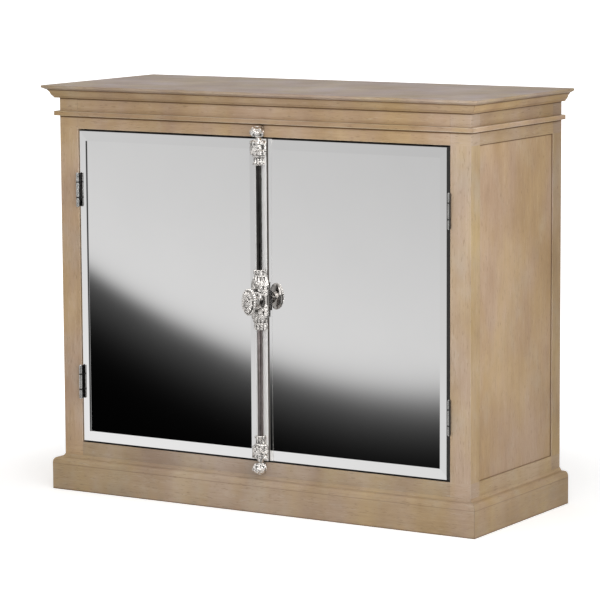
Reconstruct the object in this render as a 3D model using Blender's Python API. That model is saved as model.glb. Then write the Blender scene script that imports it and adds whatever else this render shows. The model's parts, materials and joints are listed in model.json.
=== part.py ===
# Mirrored cabinet: an oak case with two mirrored doors, closed by a cremone bolt.
# Metres, +Z up, front towards -Y, origin on the floor below the centre of the whole object.
import math

import bmesh
import bpy
from mathutils import Vector

# Clearances
GAP = 0.0003             # between pieces that touch
OVERLAP = 0.0010         # how far joined solids run into each other
CUT_PAST = 0.0020        # how far a cutter runs out of what it cuts
DOOR_GAP = 0.0020        # door edge to stile, and between the doors
DOOR_GAP_TOP = 0.0035
DOOR_GAP_BOTTOM = 0.0035
RUNNING = 0.0005         # radial room round a rod or a shaft
RETRACT = 0.0010         # rod tip to the mouth of its keeper, bolt drawn back

# Case
CASE_WIDTH = 1.028
CASE_DEPTH = 0.404
HEIGHT = 0.900
POST_WIDTH = 0.048
FRONT_POST_DEPTH = 0.038
REAR_POST_DEPTH = 0.040
RAIL_THICK = 0.024       # front rails
SIDE_RAIL_THICK = 0.020
OPENING_BOTTOM = 0.1085
TOP_RAIL_DROP = 0.0950   # top of the door opening below the top of the cabinet
RAIL_FOOT = 0.020        # underside of the bottom rails
PANEL_THICK = 0.008
PANEL_RECESS = 0.003
GROOVE_DEPTH = 0.008
BACK_THICK = 0.006
BACK_RAIL_THICK = 0.018
BACK_INSET = 0.006
BACK_RAIL_DEPTH = 0.080
BOARD_THICK = 0.018
SHELF_RISE = 0.3365      # underside of the shelf above the cupboard's floor
SHELF_THICK = 0.018
SHELF_SETBACK = 0.004    # shelf edge behind the backs of the doors
BEARER_SIZE = 0.020
STOP_DROP = 0.016        # door stop below the top rail
STOP_HEIGHT = 0.040
STOP_THICK = 0.020
PIN_RADIUS = 0.0025
PIN_LENGTH = 0.020
PIN_FROM_FRONT = 0.0325

# Top board, mouldings and plinth; overhangs are measured from the case
TOP_OVERHANG = 0.0295
TOP_EDGE = 0.0050
TOP_ROUND = 0.0012
RIM_OVERHANG = 0.0208
RIM_DROP = 0.0095        # underside of the rim below the top
TOP_THICK = 0.018
CORNICE_HEIGHT = 0.0185
CORNICE_FOOT = 0.0093
CORNICE_FILLET = 0.0022
CORNICE_SWAY = 0.0009    # depth of its two shallow curves
CORNICE_STEPS = 10
BAND_DROP = 0.0670       # underside of the band below the top
BAND_SIZE = 0.0100
BAND_OUT = 0.0093
PLINTH_OUT = 0.0205
PLINTH_FACE = 0.0620     # height of the flat face
PLINTH_LIP = 0.0005
PLINTH_ROUND = 0.0092
PLINTH_SHOULDER = 0.0040
PLINTH_SLOPE = 0.0068    # rise of the slope from the shoulder to the case
PLINTH_STEPS = 8

# Doors
DOOR_FRONT = 0.0005      # glass behind the front of the case
GLASS_THICK = 0.0050
GLASS_BEVEL = 0.0225
GLASS_BEVEL_DROP = 0.0024
CORE_THICK = 0.018
LEFT_DOOR_END = 0.0325   # meeting edge of the left door
BOLT_FROM_END = 0.0210   # axis of the bolt to the meeting edge
STRIP_WIDTH = 0.0370
STRIP_LAP = 0.0075       # how far the cover strip laps the left glass
STRIP_PROUD = 0.0040
STRIP_FLAT = 0.0075      # width of the strip's chamfer at the meeting edge
STRIP_ARRIS = 0.0008

# Hinges
HINGE_LENGTH = 0.073
HINGE_FROM_BOTTOM = 0.1320   # door's lower edge to the middle of the lower hinge
HINGE_FROM_TOP = 0.1305
HINGE_RADIUS = 0.0036
HINGE_OUTER = 0.0195     # length of each outer knuckle
HINGE_BORE = 0.0016
HINGE_PIN = 0.0013
HINGE_PIN_HEAD = 0.0028
HINGE_HEAD_TOP = 0.0020
HINGE_HEAD_HEIGHT = 0.0014
LEAF_THICK = 0.0014
LEAF_REACH = 0.026
HINGE_OUT = 0.0044       # barrel axis in front of the case
KNUCKLE_STEPS = 20
KNUCKLE_TAB = 0.0028     # how far a knuckle's tab runs down the leaf

# Cremone bolt, with its parts measured from the strip's face
ROD_RADIUS = 0.0060
ROD_OFF = 0.0085         # rod axis in front of the strip
ROD_CHAMFER = 0.0012
BOX_HEIGHT = 0.4597      # centre of the gearbox
BOX_HALF = 0.0643
COLLAR_HALF_WIDTH = 0.0155
BODY_HALF_WIDTH = 0.0205
COLLAR_DEPTH = 0.0190
BODY_DEPTH = 0.0230
CAVITY_HALF_WIDTH = 0.0148
CAVITY_HALF_HEIGHT = 0.0375
CAVITY_DEPTH = 0.0135
PLATE_THICK = 0.0020
PITCH = 0.0040           # rack tooth spacing
TEETH = 12
TOOTH_HALF = 0.00075     # half tooth at the pitch line
ADDENDUM = 0.0011
DEDENDUM = 0.0015
PRESSURE = math.radians(22)
ROOT_SLOPE = 0.7         # flank below the pitch line, as a share of the slope above it
QUARTER_TEETH = 3        # teeth that pass in a quarter turn
RACK_BACK = 0.0037       # metal behind the rack's teeth
RACK_END = 0.75          # end of the rack beyond its first tooth, in pitches
RACK_THICK = 0.0060
GEAR_THICK = 0.0070
HUB_RADIUS = 0.0055
SPINDLE_SIDE = 0.0060
SEAT_RADIUS = 0.0150
SEAT_RISE = 0.0030
GUIDE_LENGTH = 0.0539
GUIDE_COLLAR = 0.0185
GUIDE_HALF_WIDTH = 0.0197
GUIDE_COLLAR_HALF = 0.0135
GUIDE_DEPTH = 0.0255
GUIDE_COLLAR_DEPTH = 0.0194
GUIDE_FROM_EDGE = 0.0012
KEEPER_HEIGHT = 0.0245
KEEPER_HALF_WIDTH = 0.0180
KEEPER_DEPTH = 0.0360
KEEPER_MOUTH = 0.0008    # keeper's mouth beyond the edge of the rail
KEEPER_WALL = 0.0060
KEEPER_LOBES = 9         # shallow ribs round the keeper
KEEPER_LOBE_DEPTH = 0.05
KEEPER_FACES = 36
CAST_FACES = 22
CAST_TUCK = math.radians(45)     # how far a casting curves in again behind its widest line
BOX_TUCK = math.radians(28)
KNOB_REACH = 0.0660      # front of the knob to the case
KNOB_HALF_WIDTH = 0.0170
KNOB_HALF_HEIGHT = 0.0290
KNOB_RIM = 0.0080
KNOB_DOME = 0.0060
KNOB_BOWL = 0.0070
NECK_RADIUS = 0.0085
SHANK_RADIUS = 0.0130
SHANK_FOOT = 0.0025      # straight foot of the shank
SHANK_STEPS = 5
KNOB_STEPS = 6
KNOB_DOME_WIDE = 0.90    # dome's size as shares of the knob's
KNOB_DOME_TALL = 0.92
KNOB_TIP = 0.1

# Catch of the right door
CATCH_FROM_EDGE = 0.055
CATCH_LENGTH = 0.046
CATCH_DEPTH = 0.016
CATCH_HEIGHT = 0.012
STRIKE_THICK = 0.0010
STRIKE_LENGTH = 0.036

ROUND_FACES = 24         # faces round rods and bores
SMALL_FACES = 16         # faces round pins
KNOB_FACES = 28
SEAT_FACES = 32

# Cast shapes as rows of shares: of the length, of the half width and of the depth
GUIDE_COLLAR_SHAPE = ((0, 0.92, 0.90), (0.06, 1.0, 1.0), (0.30, 1.0, 1.0), (0.42, 0.86, 0.93),
                      (0.70, 0.90, 0.95), (1.0, 1.06, 1.0))
GUIDE_BODY_SHAPE = ((0.10, 0.96, 1.0), (0.45, 1.0, 1.0), (0.62, 0.95, 0.98), (0.80, 0.99, 0.98),
                    (0.93, 0.93, 0.93), (1.0, 0.78, 0.86))
KEEPER_SHAPE = ((0.0, 0.62, 0.72), (0.10, 0.80, 0.84), (0.28, 0.97, 0.97), (0.42, 1.0, 1.0),
                (0.60, 0.96, 0.97), (0.78, 0.80, 0.84), (0.91, 0.58, 0.66), (1.0, 0.34, 0.46))
BOX_COLLAR_SHAPE = ((1.0, 0.84, 0.90), (0.97, 1.0, 1.0), (0.86, 1.03, 1.0), (0.80, 0.93, 0.96),
                    (0.74, 1.0, 1.0))
BOX_BODY_SHAPE = ((0.62, 0.90, 0.96), (0.50, 1.0, 0.98), (0.36, 0.99, 1.0), (0.18, 0.97, 1.0))
KNOB_RIM_SHAPE = ((0.3, 1.03, 1.02), (0.7, 1.03, 1.02), (1.0, 0.93, 0.95))

# Derived positions
CASE_HALF = CASE_WIDTH / 2
FACE = (KNOB_REACH - CASE_DEPTH) / 2
BACK = FACE + CASE_DEPTH
OPENING_HALF = CASE_HALF - POST_WIDTH
OPENING_TOP = HEIGHT - TOP_RAIL_DROP
DOOR_EDGE = OPENING_HALF - DOOR_GAP
RIGHT_DOOR_START = LEFT_DOOR_END + DOOR_GAP
BOLT_X = LEFT_DOOR_END - BOLT_FROM_END
STRIP_LEFT = LEFT_DOOR_END - STRIP_WIDTH
DOOR_BOTTOM = OPENING_BOTTOM + DOOR_GAP_BOTTOM
DOOR_TOP = OPENING_TOP - DOOR_GAP_TOP
GLASS_FRONT = FACE + DOOR_FRONT
GLASS_BACK = GLASS_FRONT + GLASS_THICK
CORE_FRONT = GLASS_BACK + GAP
CORE_BACK = CORE_FRONT + CORE_THICK
STRIP_FACE = FACE - STRIP_PROUD
MOUNT_FACE = STRIP_FACE - GAP
ROD_Y = STRIP_FACE - ROD_OFF
SEAT_FRONT = MOUNT_FACE - BODY_DEPTH - SEAT_RISE
RIM_Z = HEIGHT - RIM_DROP
CORNICE_BOTTOM = RIM_Z - CORNICE_HEIGHT
BAND_BOTTOM = HEIGHT - BAND_DROP
SHELF_HEIGHT = OPENING_BOTTOM + SHELF_RISE
TOP_SEAT = HEIGHT - TOP_THICK
CARCASE_TOP = TOP_SEAT - GAP
HINGE_Y = FACE - HINGE_OUT
HINGE_X = OPENING_HALF - GAP / 2
HINGE_HEIGHTS = (DOOR_BOTTOM + HINGE_FROM_BOTTOM, DOOR_TOP - HINGE_FROM_TOP)
PITCH_RADIUS = TEETH * PITCH / (2 * math.pi)
TRAVEL = QUARTER_TEETH * PITCH
BOARD_Z = OPENING_BOTTOM - BOARD_THICK


def clear_scene():
    for old in list(bpy.data.objects):
        bpy.data.objects.remove(old, do_unlink=True)


def material(name, colour, roughness, metallic=0.0):
    made = bpy.data.materials.new(name)
    made.use_nodes = True
    made.diffuse_color = (*colour, 1.0)
    shader = made.node_tree.nodes["Principled BSDF"]
    shader.inputs["Base Color"].default_value = (*colour, 1.0)
    shader.inputs["Roughness"].default_value = roughness
    shader.inputs["Metallic"].default_value = metallic
    return made


def empty(name, place, parent=None):
    made = bpy.data.objects.new(name, None)
    made.empty_display_size = 0.05
    made.location = Vector(place)
    if parent:
        made.parent = parent
        made.location -= world_place(parent)
    bpy.context.collection.objects.link(made)
    return made


def world_place(item):
    place = Vector(item.location)
    while item.parent:
        item = item.parent
        place += item.location
    return place


def prism(mesh, outline, axis, start, end):
    # An outline of (u, v) pairs drawn along X, Y or Z; u and v are the other two axes in order.
    def corner(u, v, w):
        return {"X": (w, u, v), "Y": (u, w, v), "Z": (u, v, w)}[axis]
    lower = [mesh.verts.new(corner(u, v, start)) for u, v in outline]
    upper = [mesh.verts.new(corner(u, v, end)) for u, v in outline]
    mesh.faces.new(lower)
    mesh.faces.new(upper)
    for i in range(len(outline)):
        j = (i + 1) % len(outline)
        mesh.faces.new((lower[i], lower[j], upper[j], upper[i]))


def box(mesh, x0, x1, y0, y1, z0, z1):
    prism(mesh, [(x0, y0), (x1, y0), (x1, y1), (x0, y1)], "Z", z0, z1)


def boxes(*sizes):
    mesh = bmesh.new()
    for size in sizes:
        box(mesh, *size)
    return mesh


def span(sign, inner, outer):
    # From one distance to another on the left (-1) or on the right (1), in rising order.
    return sorted((sign * inner, sign * outer))


def circle(radius, count, u=0.0, v=0.0):
    turn = 2 * math.pi / count
    return [(u + radius * math.cos(turn * i), v + radius * math.sin(turn * i)) for i in range(count)]


def rod(mesh, axis, radius, u, v, start, end, count=ROUND_FACES):
    prism(mesh, circle(radius, count, u, v), axis, start, end)


def loft(mesh, rings):
    rows = [[mesh.verts.new(point) for point in ring] for ring in rings]
    for low, high in zip(rows, rows[1:]):
        for i in range(len(low)):
            j = (i + 1) % len(low)
            mesh.faces.new((low[i], low[j], high[j], high[i]))
    mesh.faces.new(rows[0])
    mesh.faces.new(rows[-1])


def finish(mesh):
    bmesh.ops.recalc_face_normals(mesh, faces=mesh.faces)
    data = bpy.data.meshes.new("solid")
    mesh.to_mesh(data)
    mesh.free()
    return data


def combine(mesh, join=None, cut=None):
    # The base solid with one mesh of solids joined to it and one mesh of solids cut from it.
    base = bpy.data.objects.new("base", finish(mesh))
    bpy.context.collection.objects.link(base)
    tools = []
    for operation, tool_mesh in (("UNION", join), ("DIFFERENCE", cut)):
        if tool_mesh is None:
            continue
        tool = bpy.data.objects.new("tool", finish(tool_mesh))
        bpy.context.collection.objects.link(tool)
        step = base.modifiers.new(operation, "BOOLEAN")
        step.operation = operation
        step.solver = "EXACT"
        step.object = tool
        tools.append(tool)
    evaluated = base.evaluated_get(bpy.context.evaluated_depsgraph_get())
    made = bmesh.new()
    made.from_mesh(evaluated.to_mesh())
    evaluated.to_mesh_clear()
    for item in tools + [base]:
        bpy.data.objects.remove(item, do_unlink=True)
    return made


def piece(name, mesh, finish_material, parent, smooth=False):
    # The origin is the middle of the piece's box, and the parent is its body's empty, on the joint axis.
    corners = [vert.co for vert in mesh.verts]
    low = Vector([min(point[i] for point in corners) for i in range(3)])
    high = Vector([max(point[i] for point in corners) for i in range(3)])
    centre = (low + high) / 2
    bmesh.ops.translate(mesh, verts=mesh.verts, vec=-centre)
    data = finish(mesh)
    data.name = name
    data.materials.append(finish_material)
    if smooth:
        data.shade_smooth()
        data.set_sharp_from_angle(angle=math.radians(35))
    made = bpy.data.objects.new(name, data)
    made.parent = parent
    made.location = centre - world_place(parent)
    bpy.context.collection.objects.link(made)
    return made


def mitred(name, profile, side, finish_material, parent):
    # A profile of (overhang, height) pairs run along the front, or along one side from its mitre.
    mitre = GAP / math.sqrt(2)
    mesh = bmesh.new()
    rings = []
    for end in (0, 1):
        ring = []
        for out, z in profile:
            if side == "front":
                reach = CASE_HALF + out - mitre
                ring.append(((-reach, reach)[end], FACE - out, z))
            else:
                sign = -1 if side == "left" else 1
                ring.append((sign * (CASE_HALF + out), (FACE - out + mitre, BACK)[end], z))
        rings.append(ring)
    loft(mesh, rings)
    return piece(f"{name}_{side}", mesh, finish_material, parent)


def build_posts(oak, cabinet):
    for side, sign in (("left", -1), ("right", 1)):
        panel_out = CASE_HALF - PANEL_RECESS
        groove = span(sign, panel_out - PANEL_THICK - GAP, panel_out + GAP)
        rear_face = BACK - REAR_POST_DEPTH
        front_back = FACE + FRONT_POST_DEPTH
        low = OPENING_BOTTOM - GROOVE_DEPTH - GAP
        high = OPENING_TOP + GROOVE_DEPTH + GAP
        pin_z = SHELF_HEIGHT - GAP - PIN_RADIUS
        hole = span(sign, OPENING_HALF - CUT_PAST, OPENING_HALF + PIN_LENGTH / 2 + GAP)

        front = boxes((*span(sign, OPENING_HALF, CASE_HALF), FACE, front_back, 0, CARCASE_TOP))
        cut = boxes((*groove, front_back - GROOVE_DEPTH - GAP, front_back + GAP, low, high))
        for centre in HINGE_HEIGHTS:
            reach = HINGE_LENGTH / 2 + GAP
            box(cut, *span(sign, OPENING_HALF - GAP, OPENING_HALF + LEAF_THICK + GAP), FACE - GAP,
                FACE + LEAF_REACH + GAP, centre - reach, centre + reach)
        rod(cut, "X", PIN_RADIUS + GAP, FACE + PIN_FROM_FRONT, pin_z, *hole, count=SMALL_FACES)
        piece(f"front_{side}_post", combine(front, cut=cut), oak, cabinet)

        rear = boxes((*span(sign, OPENING_HALF, CASE_HALF), rear_face, BACK, 0, CARCASE_TOP))
        cut = boxes((*groove, rear_face - GAP, rear_face + GROOVE_DEPTH + GAP, low, high))
        back_low = BACK - BACK_INSET - BACK_THICK
        box(cut, *span(sign, OPENING_HALF - GAP, OPENING_HALF + GROOVE_DEPTH + GAP), back_low - GAP,
            BACK - BACK_INSET + GAP, low, high)
        rod(cut, "X", PIN_RADIUS + GAP, BACK - PIN_FROM_FRONT, pin_z, *hole, count=SMALL_FACES)
        piece(f"rear_{side}_post", combine(rear, cut=cut), oak, cabinet)


def build_rails(oak, cabinet):
    end = OPENING_HALF - GAP
    piece("front_top_rail", boxes((-end, end, FACE, FACE + RAIL_THICK, OPENING_TOP, CARCASE_TOP)),
          oak, cabinet)
    piece("front_bottom_rail", boxes((-end, end, FACE, FACE + RAIL_THICK, RAIL_FOOT, OPENING_BOTTOM)),
          oak, cabinet)
    back_low = BACK - BACK_INSET - BACK_THICK
    back_front = BACK - BACK_RAIL_THICK
    groove = (-end - GAP, end + GAP, back_low - GAP, BACK - BACK_INSET + GAP)
    top_rail = boxes((-end, end, back_front, BACK, OPENING_TOP, CARCASE_TOP))
    cut = boxes((*groove, OPENING_TOP - GAP, OPENING_TOP + GROOVE_DEPTH + GAP))
    piece("back_top_rail", combine(top_rail, cut=cut), oak, cabinet)
    bottom_rail = boxes((-end, end, back_front, BACK, OPENING_BOTTOM - BACK_RAIL_DEPTH, OPENING_BOTTOM))
    cut = boxes((*groove, OPENING_BOTTOM - GROOVE_DEPTH - GAP, OPENING_BOTTOM + GAP))
    piece("back_bottom_rail", combine(bottom_rail, cut=cut), oak, cabinet)
    for side, sign in (("left", -1), ("right", 1)):
        across = span(sign, CASE_HALF - SIDE_RAIL_THICK, CASE_HALF)
        along = (FACE + FRONT_POST_DEPTH + GAP, BACK - REAR_POST_DEPTH - GAP)
        panel_out = CASE_HALF - PANEL_RECESS
        groove = (*span(sign, panel_out - PANEL_THICK - GAP, panel_out + GAP),
                  along[0] - GAP, along[1] + GAP)
        rail = boxes((*across, *along, OPENING_TOP, CARCASE_TOP))
        cut = boxes((*groove, OPENING_TOP - GAP, OPENING_TOP + GROOVE_DEPTH + GAP))
        piece(f"{side}_side_top_rail", combine(rail, cut=cut), oak, cabinet)
        rail = boxes((*across, *along, RAIL_FOOT, OPENING_BOTTOM))
        cut = boxes((*groove, OPENING_BOTTOM - GROOVE_DEPTH - GAP, OPENING_BOTTOM + GAP))
        piece(f"{side}_side_bottom_rail", combine(rail, cut=cut), oak, cabinet)


def build_panels(oak, plywood, cabinet):
    low = OPENING_BOTTOM - GROOVE_DEPTH
    high = OPENING_TOP + GROOVE_DEPTH
    for side, sign in (("left", -1), ("right", 1)):
        panel_out = CASE_HALF - PANEL_RECESS
        across = span(sign, panel_out - PANEL_THICK, panel_out)
        along = (FACE + FRONT_POST_DEPTH - GROOVE_DEPTH, BACK - REAR_POST_DEPTH + GROOVE_DEPTH)
        piece(f"{side}_side_panel", boxes((*across, *along, low, high)), oak, cabinet)
    end = OPENING_HALF + GROOVE_DEPTH
    back = BACK - BACK_INSET
    piece("back_panel", boxes((-end, end, back - BACK_THICK, back, low, high)), plywood, cabinet)


def build_inside(oak, steel, cabinet):
    wide = CASE_HALF - SIDE_RAIL_THICK - GAP
    narrow = OPENING_HALF - GAP
    front = FACE + RAIL_THICK + GAP
    front_notch = FACE + FRONT_POST_DEPTH + GAP
    rear_notch = BACK - REAR_POST_DEPTH - GAP
    rear = BACK - BACK_RAIL_THICK - GAP
    right = [(narrow, front), (narrow, front_notch), (wide, front_notch),
             (wide, rear_notch), (narrow, rear_notch), (narrow, rear)]
    outline = right + [(-x, y) for x, y in reversed(right)]
    mesh = bmesh.new()
    prism(mesh, outline, "Z", BOARD_Z, OPENING_BOTTOM)
    piece("bottom_board", mesh, oak, cabinet)

    for side, sign in (("left", -1), ("right", 1)):
        across = span(sign, wide - BEARER_SIZE, wide)
        piece(f"{side}_bearer", boxes((*across, front_notch, rear_notch, BOARD_Z - GAP - BEARER_SIZE,
                                       BOARD_Z - GAP)), oak, cabinet)

    shelf_front = CORE_BACK + SHELF_SETBACK
    shelf_back = BACK - BACK_RAIL_THICK - GAP
    reach = OPENING_HALF - DOOR_GAP
    piece("shelf", boxes((-reach, reach, shelf_front, shelf_back, SHELF_HEIGHT,
                          SHELF_HEIGHT + SHELF_THICK)), oak, cabinet)
    for side, sign in (("left", -1), ("right", 1)):
        for end, y in (("front", FACE + PIN_FROM_FRONT), ("rear", BACK - PIN_FROM_FRONT)):
            along = span(sign, OPENING_HALF - PIN_LENGTH / 2, OPENING_HALF + PIN_LENGTH / 2)
            pin = bmesh.new()
            rod(pin, "X", PIN_RADIUS, y, SHELF_HEIGHT - GAP - PIN_RADIUS, *along, count=SMALL_FACES)
            piece(f"{end}_{side}_shelf_pin", pin, steel, cabinet, smooth=True)

    stop_front = FACE + RAIL_THICK + GAP
    stop_foot = OPENING_TOP - STOP_DROP
    piece("door_stop", boxes((-narrow, narrow, stop_front, stop_front + STOP_THICK, stop_foot,
                              stop_foot + STOP_HEIGHT)), oak, cabinet)
    left = RIGHT_DOOR_START + CATCH_FROM_EDGE
    catch_front = CORE_BACK + GAP + STRIKE_THICK + GAP
    piece("magnetic_catch", boxes((left, left + CATCH_LENGTH, catch_front, catch_front + CATCH_DEPTH,
                                   stop_foot - GAP - CATCH_HEIGHT, stop_foot - GAP)), steel, cabinet)


def build_top(oak, cabinet):
    def level(z, out):
        return [(-CASE_HALF - out, FACE - out, z), (CASE_HALF + out, FACE - out, z),
                (CASE_HALF + out, BACK, z), (-CASE_HALF - out, BACK, z)]
    mesh = bmesh.new()
    loft(mesh, [level(TOP_SEAT, -GAP), level(RIM_Z, -GAP), level(RIM_Z, RIM_OVERHANG),
                level(HEIGHT - TOP_EDGE, TOP_OVERHANG), level(HEIGHT - TOP_ROUND, TOP_OVERHANG),
                level(HEIGHT, TOP_OVERHANG - TOP_ROUND)])
    piece("top_board", mesh, oak, cabinet)


def build_mouldings(oak, cabinet):
    cornice_low = CORNICE_BOTTOM + CORNICE_FILLET
    cornice_high = RIM_Z - GAP
    cornice = [(GAP, cornice_high), (GAP, CORNICE_BOTTOM), (CORNICE_FOOT, CORNICE_BOTTOM)]
    for i in range(CORNICE_STEPS + 1):
        share = i / CORNICE_STEPS
        out = CORNICE_FOOT + (RIM_OVERHANG - CORNICE_FOOT) * share
        out += CORNICE_SWAY * math.sin(2 * math.pi * share)
        cornice.append((out, cornice_low + (cornice_high - cornice_low) * share))
    band = [(GAP, BAND_BOTTOM), (BAND_OUT, BAND_BOTTOM), (BAND_OUT, BAND_BOTTOM + BAND_SIZE),
            (GAP, BAND_BOTTOM + BAND_SIZE)]
    plinth = [(GAP, 0), (PLINTH_OUT, 0), (PLINTH_OUT, PLINTH_FACE)]
    for i in range(PLINTH_STEPS + 1):
        turn = math.pi / 2 * i / PLINTH_STEPS
        plinth.append((PLINTH_OUT - PLINTH_LIP - PLINTH_ROUND * (1 - math.cos(turn)),
                       PLINTH_FACE + PLINTH_ROUND * math.sin(turn)))
    shoulder = PLINTH_FACE + PLINTH_ROUND
    plinth += [(PLINTH_SHOULDER, shoulder), (GAP, shoulder + PLINTH_SLOPE)]
    for side in ("front", "left", "right"):
        mitred("cornice", cornice, side, oak, cabinet)
        mitred("band", band, side, oak, cabinet)
        mitred("plinth", plinth, side, oak, cabinet)


def bevelled_glass(left, right, left_bevel, right_bevel):
    def level(y, inset, left_inset, right_inset):
        ends = (left + left_inset, right - right_inset)
        heights = (DOOR_BOTTOM + inset, DOOR_TOP - inset)
        return [(ends[0], y, heights[0]), (ends[1], y, heights[0]),
                (ends[1], y, heights[1]), (ends[0], y, heights[1])]
    mesh = bmesh.new()
    loft(mesh, [level(GLASS_BACK, 0, 0, 0), level(GLASS_FRONT + GLASS_BEVEL_DROP, 0, 0, 0),
                level(GLASS_FRONT, GLASS_BEVEL, left_bevel, right_bevel)])
    return mesh


def build_doors(oak, mirror, silver, left_door, right_door):
    core = (CORE_FRONT, CORE_BACK, DOOR_BOTTOM, DOOR_TOP)
    piece("left_door_core", boxes((-DOOR_EDGE, LEFT_DOOR_END, *core)), oak, left_door)
    strip_body = STRIP_LEFT + STRIP_LAP
    glass = bevelled_glass(-DOOR_EDGE, strip_body - GAP, GLASS_BEVEL, GLASS_BEVEL)
    piece("left_mirror", glass, mirror, left_door)
    chamfer = LEFT_DOOR_END - STRIP_FLAT
    lap_back = GLASS_FRONT + GLASS_BEVEL_DROP * (1 - STRIP_LAP / GLASS_BEVEL) - GAP
    strip = [(STRIP_LEFT, lap_back), (STRIP_LEFT, STRIP_FACE + STRIP_ARRIS),
             (STRIP_LEFT + STRIP_ARRIS, STRIP_FACE), (chamfer, STRIP_FACE), (LEFT_DOOR_END, GLASS_FRONT),
             (LEFT_DOOR_END, GLASS_BACK), (strip_body, GLASS_BACK), (strip_body, lap_back)]
    mesh = bmesh.new()
    prism(mesh, strip, "Z", DOOR_BOTTOM, DOOR_TOP)
    piece("cover_strip", mesh, silver, left_door)

    piece("right_door_core", boxes((RIGHT_DOOR_START, DOOR_EDGE, *core)), oak, right_door)
    glass = bevelled_glass(RIGHT_DOOR_START, DOOR_EDGE, 0, GLASS_BEVEL)
    piece("right_mirror", glass, mirror, right_door)
    left = RIGHT_DOOR_START + CATCH_FROM_EDGE + (CATCH_LENGTH - STRIKE_LENGTH) / 2
    top = OPENING_TOP - STOP_DROP - GAP
    strike = boxes((left, left + STRIKE_LENGTH, CORE_BACK + GAP, CORE_BACK + GAP + STRIKE_THICK,
                    top - CATCH_HEIGHT, top))
    piece("catch_strike", strike, silver, right_door)


def knuckle(near, far, reach):
    # Round knuckle with a tab from it along +Y; near and far are the tab's two sides in X.
    start = math.acos(far / HINGE_RADIUS)
    end = math.acos(near / HINGE_RADIUS) - 2 * math.pi
    arc = []
    for i in range(KNUCKLE_STEPS + 1):
        angle = start + (end - start) * i / KNUCKLE_STEPS
        arc.append((HINGE_RADIUS * math.cos(angle), HINGE_RADIUS * math.sin(angle)))
    return arc + [(near, reach), (far, reach)]


def hinge_leaf(on_frame):
    # A leaf of a left hinge in its own coordinates: barrel axis at the origin, middle at height zero.
    near = OPENING_HALF - HINGE_X
    half = HINGE_LENGTH / 2
    middle = half - HINGE_OUTER
    if on_frame:
        sides = (-near - LEAF_THICK, -near)
        spans = [(-half, -middle - GAP), (middle + GAP, half)]
    else:
        sides = (GAP - near, GAP - near + LEAF_THICK)
        spans = [(-middle + GAP, middle - GAP)]
    plate = boxes((*sides, HINGE_OUT, HINGE_OUT + LEAF_REACH, -half, half))
    barrels = bmesh.new()
    for low, high in spans:
        prism(barrels, knuckle(*sides, HINGE_OUT + KNUCKLE_TAB), "Z", low, high)
    leaf = combine(plate, join=barrels)
    if on_frame:
        pin = bmesh.new()
        loft(pin, [[(x, y, z) for x, y in circle(radius, SMALL_FACES)] for radius, z in pin_shape()])
        return combine(leaf, join=pin)
    bore = bmesh.new()
    rod(bore, "Z", HINGE_BORE, 0, 0, -HINGE_LENGTH, HINGE_LENGTH, count=SMALL_FACES)
    return combine(leaf, cut=bore)


def pin_shape():
    # Radii with heights: the pin, riveted in the outer knuckles, and its rounded ends.
    half = HINGE_LENGTH / 2
    top = [(HINGE_PIN, half - GAP), (HINGE_PIN_HEAD, half - GAP), (HINGE_PIN_HEAD, half + GAP),
           (HINGE_HEAD_TOP, half + HINGE_HEAD_HEIGHT)]
    return [(radius, -z) for radius, z in reversed(top)] + top


def build_hinges(steel, cabinet, left_door, right_door):
    leaves = {}
    for role, on_frame in (("frame", True), ("door", False)):
        data = finish(hinge_leaf(on_frame))
        data.name = f"hinge_{role}_leaf"
        data.materials.append(steel)
        data.shade_smooth()
        data.set_sharp_from_angle(angle=math.radians(35))
        leaves[role] = data
    for side, sign, door in (("left", -1, left_door), ("right", 1, right_door)):
        for height, place in zip(("lower", "upper"), HINGE_HEIGHTS):
            for role, parent in (("frame", cabinet), ("door", door)):
                made = bpy.data.objects.new(f"{side}_{height}_hinge_{role}_leaf", leaves[role])
                made.parent = parent
                made.location = Vector((sign * HINGE_X, HINGE_Y, place)) - world_place(parent)
                made.rotation_euler = (0, 0 if side == "left" else math.pi, 0)
                bpy.context.collection.objects.link(made)


def cast_section(z, half_width, depth, back, tuck, ribbed):
    # Oval section cut flat at the back; a ribbed one has shallow grooves round its front.
    count = KEEPER_FACES if ribbed else CAST_FACES
    groove = KEEPER_LOBE_DEPTH / 2 if ribbed else 0
    half_depth = depth / (1 + math.sin(tuck))
    middle = back - depth + half_depth
    ring = []
    for i in range(count + 1):
        share = i / count
        angle = (math.pi + 2 * tuck) * share - tuck
        swell = 1 - groove * (1 - math.cos(2 * math.pi * KEEPER_LOBES * share))
        ring.append((BOLT_X + half_width * swell * math.cos(angle),
                     middle - half_depth * swell * math.sin(angle), z))
    return ring


def cast_body(levels, back, tuck=CAST_TUCK, ribbed=False):
    mesh = bmesh.new()
    loft(mesh, [cast_section(*level, back, tuck, ribbed) for level in levels])
    return mesh


def rod_bore(start, end):
    bore = bmesh.new()
    rod(bore, "Z", ROD_RADIUS + RUNNING, BOLT_X, ROD_Y, start, end)
    return bore


def build_guides(silver, left_door):
    length = GUIDE_LENGTH - GUIDE_COLLAR
    for side, sign, edge in (("upper", 1, DOOR_TOP), ("lower", -1, DOOR_BOTTOM)):
        start = edge - sign * (GUIDE_FROM_EDGE + GUIDE_LENGTH)
        body_start = start + sign * GUIDE_COLLAR
        levels = [(start + sign * GUIDE_COLLAR * share, GUIDE_COLLAR_HALF * wide, GUIDE_COLLAR_DEPTH * deep)
                  for share, wide, deep in GUIDE_COLLAR_SHAPE]
        levels += [(body_start + sign * length * share, GUIDE_HALF_WIDTH * wide, GUIDE_DEPTH * deep)
                   for share, wide, deep in GUIDE_BODY_SHAPE]
        bore = rod_bore(*sorted((start - sign * CUT_PAST, edge + sign * CUT_PAST)))
        solid = combine(cast_body(levels, MOUNT_FACE), cut=bore)
        piece(f"{side}_guide", solid, silver, left_door, smooth=True)


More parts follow.
